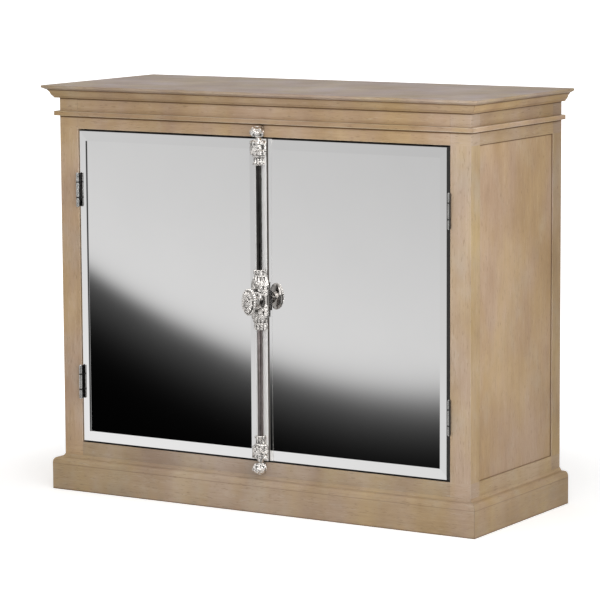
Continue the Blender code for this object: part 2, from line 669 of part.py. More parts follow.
def build_keepers(silver, cabinet):
    for side, sign, edge in (("upper", 1, OPENING_TOP), ("lower", -1, OPENING_BOTTOM)):
        mouth = edge + sign * KEEPER_MOUTH
        levels = [(mouth + sign * KEEPER_HEIGHT * share, KEEPER_HALF_WIDTH * wide, KEEPER_DEPTH * deep)
                  for share, wide, deep in KEEPER_SHAPE]
        bore_end = mouth + sign * (KEEPER_HEIGHT - KEEPER_WALL)
        bore = rod_bore(*sorted((mouth - sign * CUT_PAST, bore_end)))
        solid = combine(cast_body(levels, FACE - GAP, ribbed=True), cut=bore)
        piece(f"{side}_keeper", solid, silver, cabinet, smooth=True)


def build_rods(silver, upper_slide, lower_slide):
    rack_back = ROD_Y + RACK_THICK / 2
    root = PITCH_RADIUS + DEDENDUM
    tooth_tip = PITCH_RADIUS - ADDENDUM
    slope = math.tan(PRESSURE)
    foot = TOOTH_HALF + DEDENDUM * slope
    point = TOOTH_HALF - ADDENDUM * slope
    for side, sign, parent, edge in (("upper", 1, upper_slide, OPENING_TOP),
                                     ("lower", -1, lower_slide, OPENING_BOTTOM)):
        tip = edge + sign * (KEEPER_MOUTH - RETRACT)
        turn = BOX_HEIGHT + sign * (CAVITY_HALF_HEIGHT - TRAVEL - 2 * RUNNING)
        block = turn - sign * 2 * ROD_RADIUS
        shaft = [(ROD_RADIUS, turn - sign * ROD_RADIUS), (ROD_RADIUS, tip - sign * ROD_CHAMFER),
                 (ROD_RADIUS - ROD_CHAMFER, tip)]
        rings = [[(x, y, z) for x, y in circle(radius, ROUND_FACES, BOLT_X, ROD_Y)] for radius, z in shaft]
        mesh = bmesh.new()
        loft(mesh, rings)
        # The rack stands beside the pinion, and its teeth lie half a pitch off the pinion's axis.
        first = BOX_HEIGHT - sign * (TRAVEL + PITCH / 2)
        end = first - sign * RACK_END * PITCH
        outline = [(root + RACK_BACK, end), (root, end)]
        for i in range(int(abs(block - end) / PITCH - 1 / 2)):
            centre = first + sign * PITCH * i
            outline += [(root, centre - sign * foot), (tooth_tip, centre - sign * point),
                        (tooth_tip, centre + sign * point), (root, centre + sign * foot)]
        outline += [(root, block), (-ROD_RADIUS, block), (-ROD_RADIUS, turn), (root + RACK_BACK, turn)]
        rack = bmesh.new()
        prism(rack, [(BOLT_X - sign * u, z) for u, z in outline], "Y", rack_back - RACK_THICK, rack_back)
        piece(f"{side}_rod", combine(mesh, join=rack), silver, parent, smooth=True)


def gear_outline():
    slope = math.tan(PRESSURE)
    levels = ((PITCH_RADIUS - DEDENDUM, TOOTH_HALF + DEDENDUM * slope * ROOT_SLOPE),
              (PITCH_RADIUS, TOOTH_HALF),
              (PITCH_RADIUS + ADDENDUM, TOOTH_HALF - ADDENDUM * slope))
    outline = []
    for tooth in range(TEETH):
        middle = 2 * math.pi * tooth / TEETH
        sides = [(radius, middle - half / radius) for radius, half in levels]
        sides += [(radius, middle + half / radius) for radius, half in reversed(levels)]
        outline += [(BOLT_X + radius * math.cos(angle), BOX_HEIGHT + radius * math.sin(angle))
                    for radius, angle in sides]
    return outline


def build_gearbox(silver, steel, left_door):
    plate_front = MOUNT_FACE - PLATE_THICK
    reach = CAVITY_HALF_WIDTH - GAP
    half = CAVITY_HALF_HEIGHT - GAP
    bearing = bmesh.new()
    rod(bearing, "Y", HUB_RADIUS + GAP, BOLT_X, BOX_HEIGHT, plate_front - CUT_PAST, MOUNT_FACE + CUT_PAST)
    plate = boxes((BOLT_X - reach, BOLT_X + reach, plate_front, MOUNT_FACE,
                   BOX_HEIGHT - half, BOX_HEIGHT + half))
    piece("gearbox_plate", combine(plate, cut=bearing), steel, left_door)

    upper = [(share, COLLAR_HALF_WIDTH * wide, COLLAR_DEPTH * deep)
             for share, wide, deep in BOX_COLLAR_SHAPE]
    upper += [(share, BODY_HALF_WIDTH * wide, BODY_DEPTH * deep)
              for share, wide, deep in BOX_BODY_SHAPE]
    lower = [(-share, wide, deep) for share, wide, deep in reversed(upper)]
    levels = [(BOX_HEIGHT + BOX_HALF * share, wide, deep) for share, wide, deep in upper + lower]
    cavity_front = MOUNT_FACE - CAVITY_DEPTH
    seat = bmesh.new()
    rod(seat, "Y", SEAT_RADIUS, BOLT_X, BOX_HEIGHT, SEAT_FRONT, cavity_front - OVERLAP, count=SEAT_FACES)
    cavity = boxes((BOLT_X - CAVITY_HALF_WIDTH, BOLT_X + CAVITY_HALF_WIDTH,
                    cavity_front, MOUNT_FACE + CUT_PAST,
                    BOX_HEIGHT - CAVITY_HALF_HEIGHT, BOX_HEIGHT + CAVITY_HALF_HEIGHT))
    shell = combine(cast_body(levels, MOUNT_FACE, BOX_TUCK), join=seat, cut=cavity)
    reach = BOX_HALF + CUT_PAST
    shell = combine(shell, cut=rod_bore(BOX_HEIGHT - reach, BOX_HEIGHT + reach))
    bearing = bmesh.new()
    rod(bearing, "Y", HUB_RADIUS + GAP, BOLT_X, BOX_HEIGHT, SEAT_FRONT - CUT_PAST, cavity_front + CUT_PAST)
    piece("gearbox_cover", combine(shell, cut=bearing), silver, left_door, smooth=True)


def square_hole(front, back):
    square = SPINDLE_SIDE / 2 + GAP
    return boxes((BOLT_X - square, BOLT_X + square, front, back, BOX_HEIGHT - square, BOX_HEIGHT + square))


def build_knob(silver, steel, knob_axis):
    gear = bmesh.new()
    prism(gear, gear_outline(), "Y", ROD_Y - GEAR_THICK / 2, ROD_Y + GEAR_THICK / 2)
    hub = bmesh.new()
    rod(hub, "Y", HUB_RADIUS, BOLT_X, BOX_HEIGHT, SEAT_FRONT + GAP, MOUNT_FACE - GAP)
    socket = square_hole(SEAT_FRONT - CUT_PAST, MOUNT_FACE + CUT_PAST)
    piece("pinion", combine(gear, join=hub, cut=socket), steel, knob_axis)

    head_back = FACE - KNOB_REACH + KNOB_DOME + KNOB_RIM
    side = SPINDLE_SIDE / 2
    piece("spindle", boxes((BOLT_X - side, BOLT_X + side, head_back, MOUNT_FACE - GAP,
                            BOX_HEIGHT - side, BOX_HEIGHT + side)), steel, knob_axis)

    foot = SEAT_FRONT - GAP
    shank = foot - SHANK_FOOT
    neck = head_back + KNOB_BOWL
    rim_front = head_back - KNOB_RIM
    rings = [(foot, SHANK_RADIUS, SHANK_RADIUS), (shank, SHANK_RADIUS, SHANK_RADIUS)]
    for i in range(1, SHANK_STEPS + 1):
        share = i / SHANK_STEPS
        radius = NECK_RADIUS + (SHANK_RADIUS - NECK_RADIUS) * (1 - share) ** 2
        rings.append((shank + (neck - shank) * share, radius, radius))
    for i in range(1, KNOB_STEPS + 1):
        turn = math.pi / 2 * i / KNOB_STEPS
        wide = NECK_RADIUS + (KNOB_HALF_WIDTH - NECK_RADIUS) * math.sin(turn)
        tall = NECK_RADIUS + (KNOB_HALF_HEIGHT - NECK_RADIUS) * math.sin(turn)
        rings.append((neck - KNOB_BOWL * (1 - math.cos(turn)), wide, tall))
    rings += [(head_back - KNOB_RIM * share, KNOB_HALF_WIDTH * wide, KNOB_HALF_HEIGHT * tall)
              for share, wide, tall in KNOB_RIM_SHAPE]
    dome_wide = KNOB_DOME_WIDE * KNOB_HALF_WIDTH
    dome_tall = KNOB_DOME_TALL * KNOB_HALF_HEIGHT
    for i in range(1, KNOB_STEPS):
        turn = math.pi / 2 * i / KNOB_STEPS
        rings.append((rim_front - KNOB_DOME * math.sin(turn), dome_wide * math.cos(turn),
                      dome_tall * math.cos(turn)))
    rings.append((rim_front - KNOB_DOME, KNOB_TIP * KNOB_HALF_WIDTH, KNOB_TIP * KNOB_HALF_HEIGHT))
    knob = bmesh.new()
    loft(knob, [[(BOLT_X + wide * u, y, BOX_HEIGHT + tall * v) for u, v in circle(1, KNOB_FACES)]
                for y, wide, tall in rings])
    socket = square_hole(head_back - GAP, foot + CUT_PAST)
    piece("knob", combine(knob, cut=socket), silver, knob_axis, smooth=True)


def main():
    clear_scene()
    oak = material("limed_oak", (0.42, 0.31, 0.20), 0.6)
    plywood = material("oak_plywood", (0.45, 0.34, 0.23), 0.65)
    mirror = material("mirror_glass", (0.80, 0.81, 0.81), 0.02, 1.0)
    silver = material("silver_plate", (0.72, 0.70, 0.67), 0.18, 1.0)
    steel = material("steel", (0.55, 0.54, 0.52), 0.30, 1.0)

    cabinet = empty("cabinet", (0, 0, 0))
    left_door = empty("left_door_hinge", (-HINGE_X, HINGE_Y, 0), cabinet)
    right_door = empty("right_door_hinge", (HINGE_X, HINGE_Y, 0), cabinet)
    knob_axis = empty("knob_axis", (BOLT_X, ROD_Y, BOX_HEIGHT), left_door)
    upper_slide = empty("upper_rod_slide", (BOLT_X, ROD_Y, DOOR_TOP), left_door)
    lower_slide = empty("lower_rod_slide", (BOLT_X, ROD_Y, DOOR_BOTTOM), left_door)

    build_posts(oak, cabinet)
    build_rails(oak, cabinet)
    build_panels(oak, plywood, cabinet)
    build_inside(oak, steel, cabinet)
    build_top(oak, cabinet)
    build_mouldings(oak, cabinet)
    build_doors(oak, mirror, silver, left_door, right_door)
    build_hinges(steel, cabinet, left_door, right_door)
    build_guides(silver, left_door)
    build_keepers(silver, cabinet)
    build_rods(silver, upper_slide, lower_slide)
    build_gearbox(silver, steel, left_door)
    build_knob(silver, steel, knob_axis)


main()
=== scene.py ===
# Looks of the mirrored cabinet: limed oak, bevelled mirrors and a cast cremone bolt.
import json
import math

import bmesh
import bpy
import numpy as np
from mathutils import Matrix, Vector

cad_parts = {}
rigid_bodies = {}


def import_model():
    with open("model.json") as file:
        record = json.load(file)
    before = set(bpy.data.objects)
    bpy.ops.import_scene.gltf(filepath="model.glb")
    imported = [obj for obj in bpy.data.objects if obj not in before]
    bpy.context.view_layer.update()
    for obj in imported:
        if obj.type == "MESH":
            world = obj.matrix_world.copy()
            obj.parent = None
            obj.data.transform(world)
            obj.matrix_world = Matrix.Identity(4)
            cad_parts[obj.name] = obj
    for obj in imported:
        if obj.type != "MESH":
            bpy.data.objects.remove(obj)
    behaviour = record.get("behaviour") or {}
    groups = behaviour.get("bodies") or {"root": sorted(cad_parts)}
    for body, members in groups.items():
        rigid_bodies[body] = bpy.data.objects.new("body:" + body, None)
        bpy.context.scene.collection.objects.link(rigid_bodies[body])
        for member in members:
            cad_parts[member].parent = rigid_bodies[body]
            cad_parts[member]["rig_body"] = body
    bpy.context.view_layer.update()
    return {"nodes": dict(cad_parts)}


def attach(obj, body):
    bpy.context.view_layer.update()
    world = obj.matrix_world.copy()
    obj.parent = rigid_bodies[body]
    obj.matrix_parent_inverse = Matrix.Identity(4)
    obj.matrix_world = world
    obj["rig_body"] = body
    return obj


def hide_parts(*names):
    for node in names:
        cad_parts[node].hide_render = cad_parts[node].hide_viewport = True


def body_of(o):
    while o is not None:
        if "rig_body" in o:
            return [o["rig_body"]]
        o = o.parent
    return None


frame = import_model()
nodes = frame["nodes"]
print("frame loaded:", len(nodes), "nodes")


def newMaterial(name):
    made = bpy.data.materials.new(name)
    made.use_nodes = True
    return made, made.node_tree, made.node_tree.nodes["Principled BSDF"]


def feed(tree, node, inputs):
    # Links the inputs that are given as another node's output, and sets the others.
    for key, value in inputs.items():
        if isinstance(value, bpy.types.NodeSocket):
            tree.links.new(value, node.inputs[key])
        else:
            node.inputs[key].default_value = value


def put(tree, kind, inputs=None, **settings):
    node = tree.nodes.new("ShaderNode" + kind)
    for key, value in settings.items():
        setattr(node, key, value)
    feed(tree, node, inputs or {})
    return node


def sums(tree, operation, first, second=0.0):
    return put(tree, "Math", {0: first, 1: second}, operation=operation).outputs[0]


def plus(tree, first, second):
    return sums(tree, "ADD", first, second)


def times(tree, first, second):
    return sums(tree, "MULTIPLY", first, second)


def most(tree, first, second):
    return sums(tree, "MAXIMUM", first, second)


def ease(tree, value, low, high, start=0.0, end=1.0):
    # Goes smoothly from start to end while value goes from low to high.
    return put(tree, "MapRange", {"Value": value, "From Min": low, "From Max": high, "To Min": start,
               "To Max": end}, interpolation_type="SMOOTHSTEP").outputs[0]


def blend(tree, share, first, second, way="MIX"):
    node = put(tree, "Mix", data_type="RGBA", blend_type=way)
    for slot, value in ((0, share), (6, first), (7, second)):
        feed(tree, node, {slot: (*value, 1.0) if isinstance(value, tuple) else value})
    return node.outputs[2]


def ramp(tree, value, stops):
    node = put(tree, "ValToRGB", {"Fac": value})
    points = node.color_ramp.elements
    while len(points) < len(stops):
        points.new(0.5)
    for point, (place, colour) in zip(points, stops):
        point.position = place
        point.color = (*colour, 1.0)
    return node.outputs["Color"]


def placeIn(tree):
    return put(tree, "TexCoord").outputs["Object"]


def spotIn(tree):
    # The place in X, Y and Z, in metres.
    return put(tree, "SeparateXYZ", {0: placeIn(tree)}).outputs


def noise(tree, place, scale, detail=3.0, rough=0.5, twist=0.0, shift=(0, 0, 0)):
    mapped = put(tree, "Mapping", {"Vector": place, "Location": shift, "Scale": scale}).outputs[0]
    return put(tree, "TexNoise", {"Vector": mapped, "Scale": 1.0, "Detail": detail, "Roughness": rough,
               "Distortion": twist}).outputs["Fac"]


oakLook = {
    "dark": (0.415, 0.275, 0.172),
    "middle": (0.505, 0.350, 0.228),
    "light": (0.590, 0.430, 0.300),
    "rose": (1.00, 0.985, 1.02),
    "straw": (1.03, 1.00, 0.83),
    "lime": (0.700, 0.620, 0.530),
    "greyLime": (0.540, 0.455, 0.365),
    "fleck": (0.215, 0.125, 0.060),
    # colour of the painted shade and dark wax in corners and lines
    "crevice": (0.110, 0.052, 0.013),
    # near black painted shade in deep gaps
    "gapShade": (0.012, 0.009, 0.007),
    "patchScale": (7.0, 7.0, 4.0),
    "hueScale": (9.0, 9.0, 3.6),
    "cloudScale": (11.0, 11.0, 8.0),
    "figureGrain": (44.0, 4.0),    # how fine the noise is across and along the grain
    "fineGrain": (300.0, 12.0),
    "fleckGrain": (420.0, 60.0),
    "poreGrain": (1300.0, 42.0),
    "mix": (0.17, 0.21, 0.62),    # shares of the figure, the fine grain and the patches
    "greyShare": 0.30,
    "fleckShare": 0.42,
    "limeInPores": 0.42,
    "creviceReach": 0.0070,
    "creviceShare": 0.62,
    # lines of painted shade and dark wax below the top board, the cornice and the band: upper edge, thickness
    # and share
    "shadeAndWaxLines": ((0.8906, 0.0030, 0.60), (0.8762, 0.0042, 0.22),
                 (0.8720, 0.0036, 0.86), (0.8330, 0.0044, 0.86)),
    "footShadow": (0.0012, 0.0030, 0.70),    # painted contact shadow at the foot of the wood: full below, gone above, share
    "gapReach": 0.014,
    "gapShare": 0.96,
    "bump": 0.30,
    "roughness": (0.48, 0.66),
    "specular": 0.35,
}


def oakWood(name, run, look):
    # Straight-grained oak with lime in its pores; run is the axis that the grain follows. Patches of
    # warmer and greyer stain run on from board to board, and each board's tint, partly painted light and
    # shade, is its object colour.
    made, tree, shader = newMaterial(name)
    place = placeIn(tree)

    def grain(key, **rest):
        across, along = look[key]
        return noise(tree, place, [along if axis == run else across for axis in "XYZ"], **rest)

    patches = noise(tree, place, look["patchScale"], rough=0.55, shift=(3.1, 1.7, 0.4))
    hue = noise(tree, place, look["hueScale"], rough=0.6, shift=(7.3, 2.2, 5.1))
    clouds = noise(tree, place, look["cloudScale"], detail=4.0, rough=0.6, shift=(1.3, 8.2, 4.4))
    figure = grain("figureGrain", detail=5.0, rough=0.62, twist=2.2)
    fine = grain("fineGrain", detail=4.0, rough=0.65)
    flecks = grain("fleckGrain", rough=0.6, shift=(0.6, 0.2, 0.9))
    pores = grain("poreGrain", detail=2.0)

    parts = [times(tree, part, share) for part, share in zip((figure, fine, patches), look["mix"])]
    streaks = plus(tree, parts[0], plus(tree, parts[1], parts[2]))
    colour = ramp(tree, streaks, [(0.37, look["dark"]), (0.50, look["middle"]), (0.63, look["light"])])
    tint = ramp(tree, hue, [(0.38, look["rose"]), (0.62, look["straw"])])
    colour = blend(tree, 1.0, colour, tint, way="MULTIPLY")
    colour = blend(tree, ease(tree, clouds, 0.50, 0.74, 0.0, look["greyShare"]), colour, look["greyLime"])
    colour = blend(tree, ease(tree, flecks, 0.58, 0.70, 0.0, look["fleckShare"]), colour, look["fleck"])
    poreMask = ease(tree, pores, 0.60, 0.72)
    limed = times(tree, poreMask, ease(tree, figure, 0.40, 0.62, 0.25, 1.0))
    colour = blend(tree, times(tree, limed, look["limeInPores"]), colour, look["lime"])
    own = put(tree, "ObjectInfo").outputs
    colour = blend(tree, 1.0, colour, own["Color"], way="MULTIPLY")

    # Painted shade, mixed with dark wax, darkens corners under overhangs and lines at set heights, and
    # painted shade turns deep gaps nearly black. How much painted shade and wax a board keeps in its
    # corners is the last value of its object colour.
    turned = put(tree, "SeparateXYZ", {0: put(tree, "NewGeometry").outputs["Normal"]}).outputs
    crease = put(tree, "AmbientOcclusion", {"Distance": look["creviceReach"]}, samples=8)
    shade_and_wax = ease(tree, crease.outputs["AO"], 0.42, 0.70, look["creviceShare"], 0.0)
    shade_and_wax = times(tree, shade_and_wax, ease(tree, turned[2], 0.40, 0.75, 1.0, 0.0))
    shade_and_wax = times(tree, shade_and_wax, own["Alpha"])
    shade_and_wax = most(tree, shade_and_wax, put(tree, "Attribute", attribute_name="shade_and_wax").outputs["Fac"])
    height = spotIn(tree)[2]
    for upper, thick, share in look["shadeAndWaxLines"]:
        line = ease(tree, height, upper - thick, upper - thick + 0.0010, 0.0, share)
        line = times(tree, line, ease(tree, height, upper - 0.0001, upper, 1.0, 0.0))
        shade_and_wax = most(tree, shade_and_wax, line)
    # painted contact shadow where the wood meets the floor
    full, gone, share = look["footShadow"]
    shade_and_wax = most(tree, shade_and_wax, ease(tree, height, full, gone, share, 0.0))
    # painted shade: deep gaps go nearly black
    deep = put(tree, "AmbientOcclusion", {"Distance": look["gapReach"]}, samples=8)
    dark = ease(tree, deep.outputs["AO"], 0.10, 0.34, look["gapShare"], 0.0)
    dark = times(tree, dark, ease(tree, turned[0], 0.5, 0.8, 1.0, 0.30))    # less on faces to +X
    colour = blend(tree, shade_and_wax, colour, look["crevice"])
    colour = blend(tree, dark, colour, look["gapShade"])

    surface = sums(tree, "SUBTRACT", times(tree, fine, 0.5), times(tree, poreMask, 0.4))
    bump = put(tree, "Bump", {"Height": surface, "Strength": look["bump"], "Distance": 0.0004}).outputs[0]
    feed(tree, shader, {"Base Color": colour, "Roughness": ease(tree, fine, 0.30, 0.70, *look["roughness"]),
                        "Normal": bump, "Specular IOR Level": look["specular"]})
    return made


# Lighter edges: partly rubbed wear that shows more of the pale lime, partly a painted highlight where the
# edges catch the light.
arrisLook = dict(oakLook, dark=(0.56, 0.44, 0.32), middle=(0.68, 0.56, 0.43), light=(0.78, 0.68, 0.56),
                 limeInPores=0.6)
# A more straw-yellow copy of the wood for the posts' outer side faces, as painted warm light on the cabinet's
# sides.
sideWarmLightLook = dict(oakLook, dark=(0.422, 0.272, 0.138), middle=(0.517, 0.344, 0.182),
                light=(0.602, 0.422, 0.240))
# The top board's rim is less grey than its upper face, whose tint, a painted grey sheen, the whole board has.
rimLook = dict(oakLook, dark=(0.398, 0.252, 0.138), middle=(0.484, 0.320, 0.182), light=(0.566, 0.394, 0.240),
               greyLime=(0.518, 0.418, 0.292), lime=(0.672, 0.570, 0.424))
plyLook = dict(oakLook, dark=(0.38, 0.27, 0.17), middle=(0.45, 0.34, 0.225), light=(0.51, 0.40, 0.28),
               limeInPores=0.12)
# Painted shade, near black, on the doors' edges and on the faces behind the front of the opening, for the
# dark of the door gaps.
gapShadeLook = dict(oakLook, dark=(0.012, 0.009, 0.006), middle=(0.018, 0.013, 0.009),
                  light=(0.026, 0.019, 0.013), greyLime=(0.020, 0.016, 0.012), fleck=(0.010, 0.008, 0.006),
                  limeInPores=0.02)
oakBoards = {}
oakEdges = {}
for runAxis, wording in (("Z", "upright"), ("X", "across"), ("Y", "front_to_back")):
    oakBoards[runAxis] = oakWood("limed_oak_" + wording, runAxis, oakLook)
    oakEdges[runAxis] = oakWood("rubbed_oak_edge_" + wording, runAxis, arrisLook)
oakSideWarmLight = oakWood("limed_oak_side_warm_light", "Z", sideWarmLightLook)
oakRim = oakWood("limed_oak_rim", "X", rimLook)
plywood = oakWood("oak_faced_plywood", "Z", plyLook)
gapShadeWood = oakWood("painted_gap_shade", "Z", gapShadeLook)


glassLook = {
    "bevelLine": (-0.4442, 0.0023),    # painted reflection, a dark line along the left bevel's inner edge: place and half width
    "lineHeights": (0.134, 0.779),
    "lineDepth": 0.96,
    "dull": (0.912, 0.908, 0.906),
    "clear": (0.930, 0.925, 0.922),
    "line": (0.02, 0.02, 0.02),
    "roughness": (0.006, 0.022),
}


def mirrorGlass():
    # Silvered glass with a faint haze, and along the bevel's inner edge one dark line that is a painted
    # reflection.
    made, tree, shader = newMaterial("silvered_mirror")
    look = glassLook
    place = placeIn(tree)
    haze = noise(tree, place, (7.0, 7.0, 7.0), detail=4.0, rough=0.6)
    colour = ramp(tree, haze, [(0.3, look["dull"]), (0.7, look["clear"])])
    spot = spotIn(tree)
    at, half = look["bevelLine"]
    off = sums(tree, "ABSOLUTE", sums(tree, "SUBTRACT", spot[0], at))
    line = ease(tree, off, half * 0.6, half * 1.4, look["lineDepth"], 0.0)
    foot, head = look["lineHeights"]
    for height, start, end in ((foot, 0.0, 1.0), (head, 1.0, 0.0)):
        line = times(tree, line, ease(tree, spot[2], height - 0.001, height + 0.001, start, end))
    colour = blend(tree, line, colour, look["line"])
    feed(tree, shader, {"Base Color": colour, "Roughness": ease(tree, haze, 0.35, 0.75, *look["roughness"]),
                        "Metallic": 1.0})
    return made


def glassEdge(name, dark, pale, roughness):
    made, tree, shader = newMaterial(name)
    place = placeIn(tree)
    grind = noise(tree, place, (300.0, 300.0, 300.0), detail=2.0)
    feed(tree, shader, {"Base Color": ramp(tree, grind, [(0.35, dark), (0.65, pale)]),
                        "Roughness": ease(tree, grind, 0.3, 0.7, *roughness)})
    return made


metalLook = {
    "cloud": 60.0,
    "scratches": 1800.0,
    "specks": 250.0,
    "tarnishAndShade": (0.022, 0.019, 0.016),
    "creviceShare": 0.86,    # most that the tarnish and painted shade cover in crevices and on the sunk ground
    "speckShare": 0.74,
}


def metal(name, bright, dull, roughness, scratch=0.08, stretch=(1.0, 1.0, 1.0), crevice=0.0, shine=1.0):
    # Metal with faint scratches, drawn out where stretch is small, and if asked for, dark crevices and sunk
    # ground: partly tarnish, partly painted shade.
    made, tree, shader = newMaterial(name)
    look = metalLook
    place = placeIn(tree)
    cloud = noise(tree, place, [look["cloud"]] * 3, detail=4.0, rough=0.6)
    lines = noise(tree, place, [look["scratches"] * s for s in stretch], rough=0.6)
    colour = ramp(tree, cloud, [(0.35, dull), (0.62, bright)])
    if crevice:
        # dark tarnish with painted shade in crevices found by occlusion and on the sunk ground, and tarnish
        # in specks
        shade = put(tree, "AmbientOcclusion", {"Distance": crevice}, samples=8, only_local=True)
        tarnishAndShadeShare = ease(tree, shade.outputs["AO"], 0.30, 0.74, look["creviceShare"], 0.0)
        ground = put(tree, "Attribute", attribute_name="relief").outputs["Fac"]
        tarnishAndShadeShare = most(tree, tarnishAndShadeShare, ease(tree, ground, 0.10, 0.36, look["creviceShare"], 0.0))
        specks = noise(tree, place, [look["specks"]] * 3, detail=1.0, rough=0.4, shift=(0.3, 0.9, 0.5))
        tarnishAndShadeShare = most(tree, tarnishAndShadeShare, ease(tree, specks, 0.58, 0.65, 0.0, look["speckShare"]))
        colour = blend(tree, tarnishAndShadeShare, colour, look["tarnishAndShade"])
    mixed = plus(tree, times(tree, cloud, 0.5), times(tree, lines, 0.5))
    bump = put(tree, "Bump", {"Height": lines, "Strength": scratch, "Distance": 0.0001}).outputs[0]
    feed(tree, shader, {"Base Color": colour, "Roughness": ease(tree, mixed, 0.35, 0.65, *roughness),
                        "Normal": bump, "Metallic": shine})
    return made


def recolour(made, share, colour):
    # Lays a colour over a metal made above; share says where, from the tree and the place.
    tree = made.node_tree
    shader = tree.nodes["Principled BSDF"]
    plain = shader.inputs["Base Color"].links[0].from_socket
    feed(tree, shader, {"Base Color": blend(tree, share(tree, spotIn(tree)), plain, colour)})
    return made


rodLook = {
    # colour of the rods' ends, a painted bright reflection of the keepers
    "rubbed": (0.86, 0.85, 0.83),
    "upperEnd": (0.7975, 0.7990),    # heights between which the upper rod turns bright
    "lowerEnd": (0.1165, 0.1180),    # and the lower one
}


def rodMetal(name, bright, dull):
    # Rods whose dark tone is a painted reflection of dark surroundings, and whose ends are painted bright, a
    # reflection of the keepers they run in and out of.
    def ends(tree, spot):
        high = ease(tree, spot[2], *rodLook["upperEnd"])
        return most(tree, high, ease(tree, spot[2], *rodLook["lowerEnd"], 1.0, 0.0))

    made = metal(name, bright, dull, (0.10, 0.20), 0.05, stretch=(1.0, 1.0, 0.01))
    return recolour(made, ends, rodLook["rubbed"])


hingeLook = {
    # colour of the dark joints and of the painted shade on the sides
    "dark": (0.018, 0.016, 0.014),
    # sides darkened as painted shade: axis, two places along it and the shares at them
    "sides": ((1, -0.1722, -0.1712, 0.0, 0.94), (0, 0.4660, 0.4670, 0.0, 0.84),
              (0, -0.4688, -0.4680, 0.80, 0.0)),
    "centres": (0.2440, 0.6710),    # heights of the hinges' middles
    "jointAt": 0.0170,    # from a middle to the joints beside the middle knuckle
    "ring": (0.0010, 0.0019, 0.92),
}


def hingeMetal():
    # Nickelled barrels: dark rings at the joints of the knuckles, and painted shade behind and on the outer
    # side.
    look = hingeLook

    def darkParts(tree, spot):
        dark = 0.0
        for axis, *shares in look["sides"]:
            dark = most(tree, dark, ease(tree, spot[axis], *shares))
        start, end, share = look["ring"]
        for centre in look["centres"]:
            away = sums(tree, "ABSOLUTE", sums(tree, "SUBTRACT", spot[2], centre))
            joint = sums(tree, "ABSOLUTE", sums(tree, "SUBTRACT", away, look["jointAt"]))
            dark = most(tree, dark, ease(tree, joint, start, end, share, 0.0))
        return dark

    made = metal("nickelled_hinge_steel", (0.80, 0.79, 0.77), (0.62, 0.61, 0.59), (0.12, 0.22), 0.12)
    return recolour(made, darkParts, look["dark"])


stripArrises = {
    "left": (-0.0030, -0.0022),    # places along X between which the painted highlight of each arris ends
    "right": (0.0226, 0.0234),
    "paintedHighlight": (0.90, 0.89, 0.87),
}


def stripMetal():
    # Brushed strip with a painted highlight along the arrises on both sides of its flat.
    def arrises(tree, spot):
        left = ease(tree, spot[0], *stripArrises["left"], 1.0, 0.0)
        return most(tree, left, ease(tree, spot[0], *stripArrises["right"]))

    made = metal("satin_silver_strip", (0.90, 0.885, 0.87), (0.87, 0.855, 0.84), (0.40, 0.50), 0.12,
                 stretch=(1.0, 1.0, 0.01), shine=0.0)
    return recolour(made, arrises, stripArrises["paintedHighlight"])


mirror = mirrorGlass()
groundEdge = glassEdge("ground_glass_edge", (0.045, 0.055, 0.050), (0.075, 0.090, 0.082), (0.22, 0.40))
# near black: painted shade of the door gaps on the panes' margins
gapShadeMargin = glassEdge("gap_shade_margin", (0.010, 0.009, 0.008), (0.018, 0.016, 0.014), (0.30, 0.45))
castSilver = metal("cast_silver_plate", (1.00, 0.965, 0.925), (0.95, 0.91, 0.865), (0.08, 0.20), 0.10,
                   crevice=0.0035)
satinSilver = stripMetal()
# the strip's right side, dark as painted shade
darkSide = metal("strip_side_painted_shade", (0.16, 0.14, 0.125), (0.11, 0.10, 0.09), (0.30, 0.42), 0.12,
                 stretch=(1.0, 1.0, 0.01))
# the rods' tones are painted reflection, darker on the upper rod and lighter on the lower
upperRodMetal = rodMetal("dark_rod_painted_reflection", (0.045, 0.042, 0.040), (0.030, 0.028, 0.026))
lowerRodMetal = rodMetal("lighter_rod_painted_reflection", (0.250, 0.215, 0.210), (0.170, 0.145, 0.140))
hingeSteel = hingeMetal()
plainSteel = metal("turned_steel", (0.58, 0.57, 0.55), (0.44, 0.43, 0.42), (0.24, 0.40), 0.15)
print("materials made")


def mergedMesh(node):
    # The node's loose triangles as one clean shell with flat faces joined.
    shell = bmesh.new()
    shell.from_mesh(node.data)
    bmesh.ops.remove_doubles(shell, verts=shell.verts, dist=1e-5)
    bmesh.ops.dissolve_limit(shell, angle_limit=math.radians(0.5), verts=shell.verts, edges=shell.edges)
    return shell


def meshFrom(shell, name, *finishes):
    mesh = bpy.data.meshes.new(name)
    shell.to_mesh(mesh)
    shell.free()
    for finish in finishes:
        mesh.materials.append(finish)
    return mesh


def newObject(name, data):
    made = bpy.data.objects.new(name, data)
    bpy.context.scene.collection.objects.link(made)
    return made


def addPiece(name, mesh, body, *replaced):
    made = newObject(name, mesh)
    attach(made, body)
    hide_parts(*replaced)
    return made


woodLook = {
    "arris": 0.0018,    # rounding of the case's outer corners
    "mouldArris": 0.0009,    # and of the mouldings and plinth
    "innerArris": 0.0004,    # and of the top board and where boards meet
    "openingArris": 0.0009,    # and round the doors
    "bandArris": 0.0010,    # and along the band
    "steps": 2,
    "flat": 28,    # edges with a smaller turn in degrees aren't rounded
}

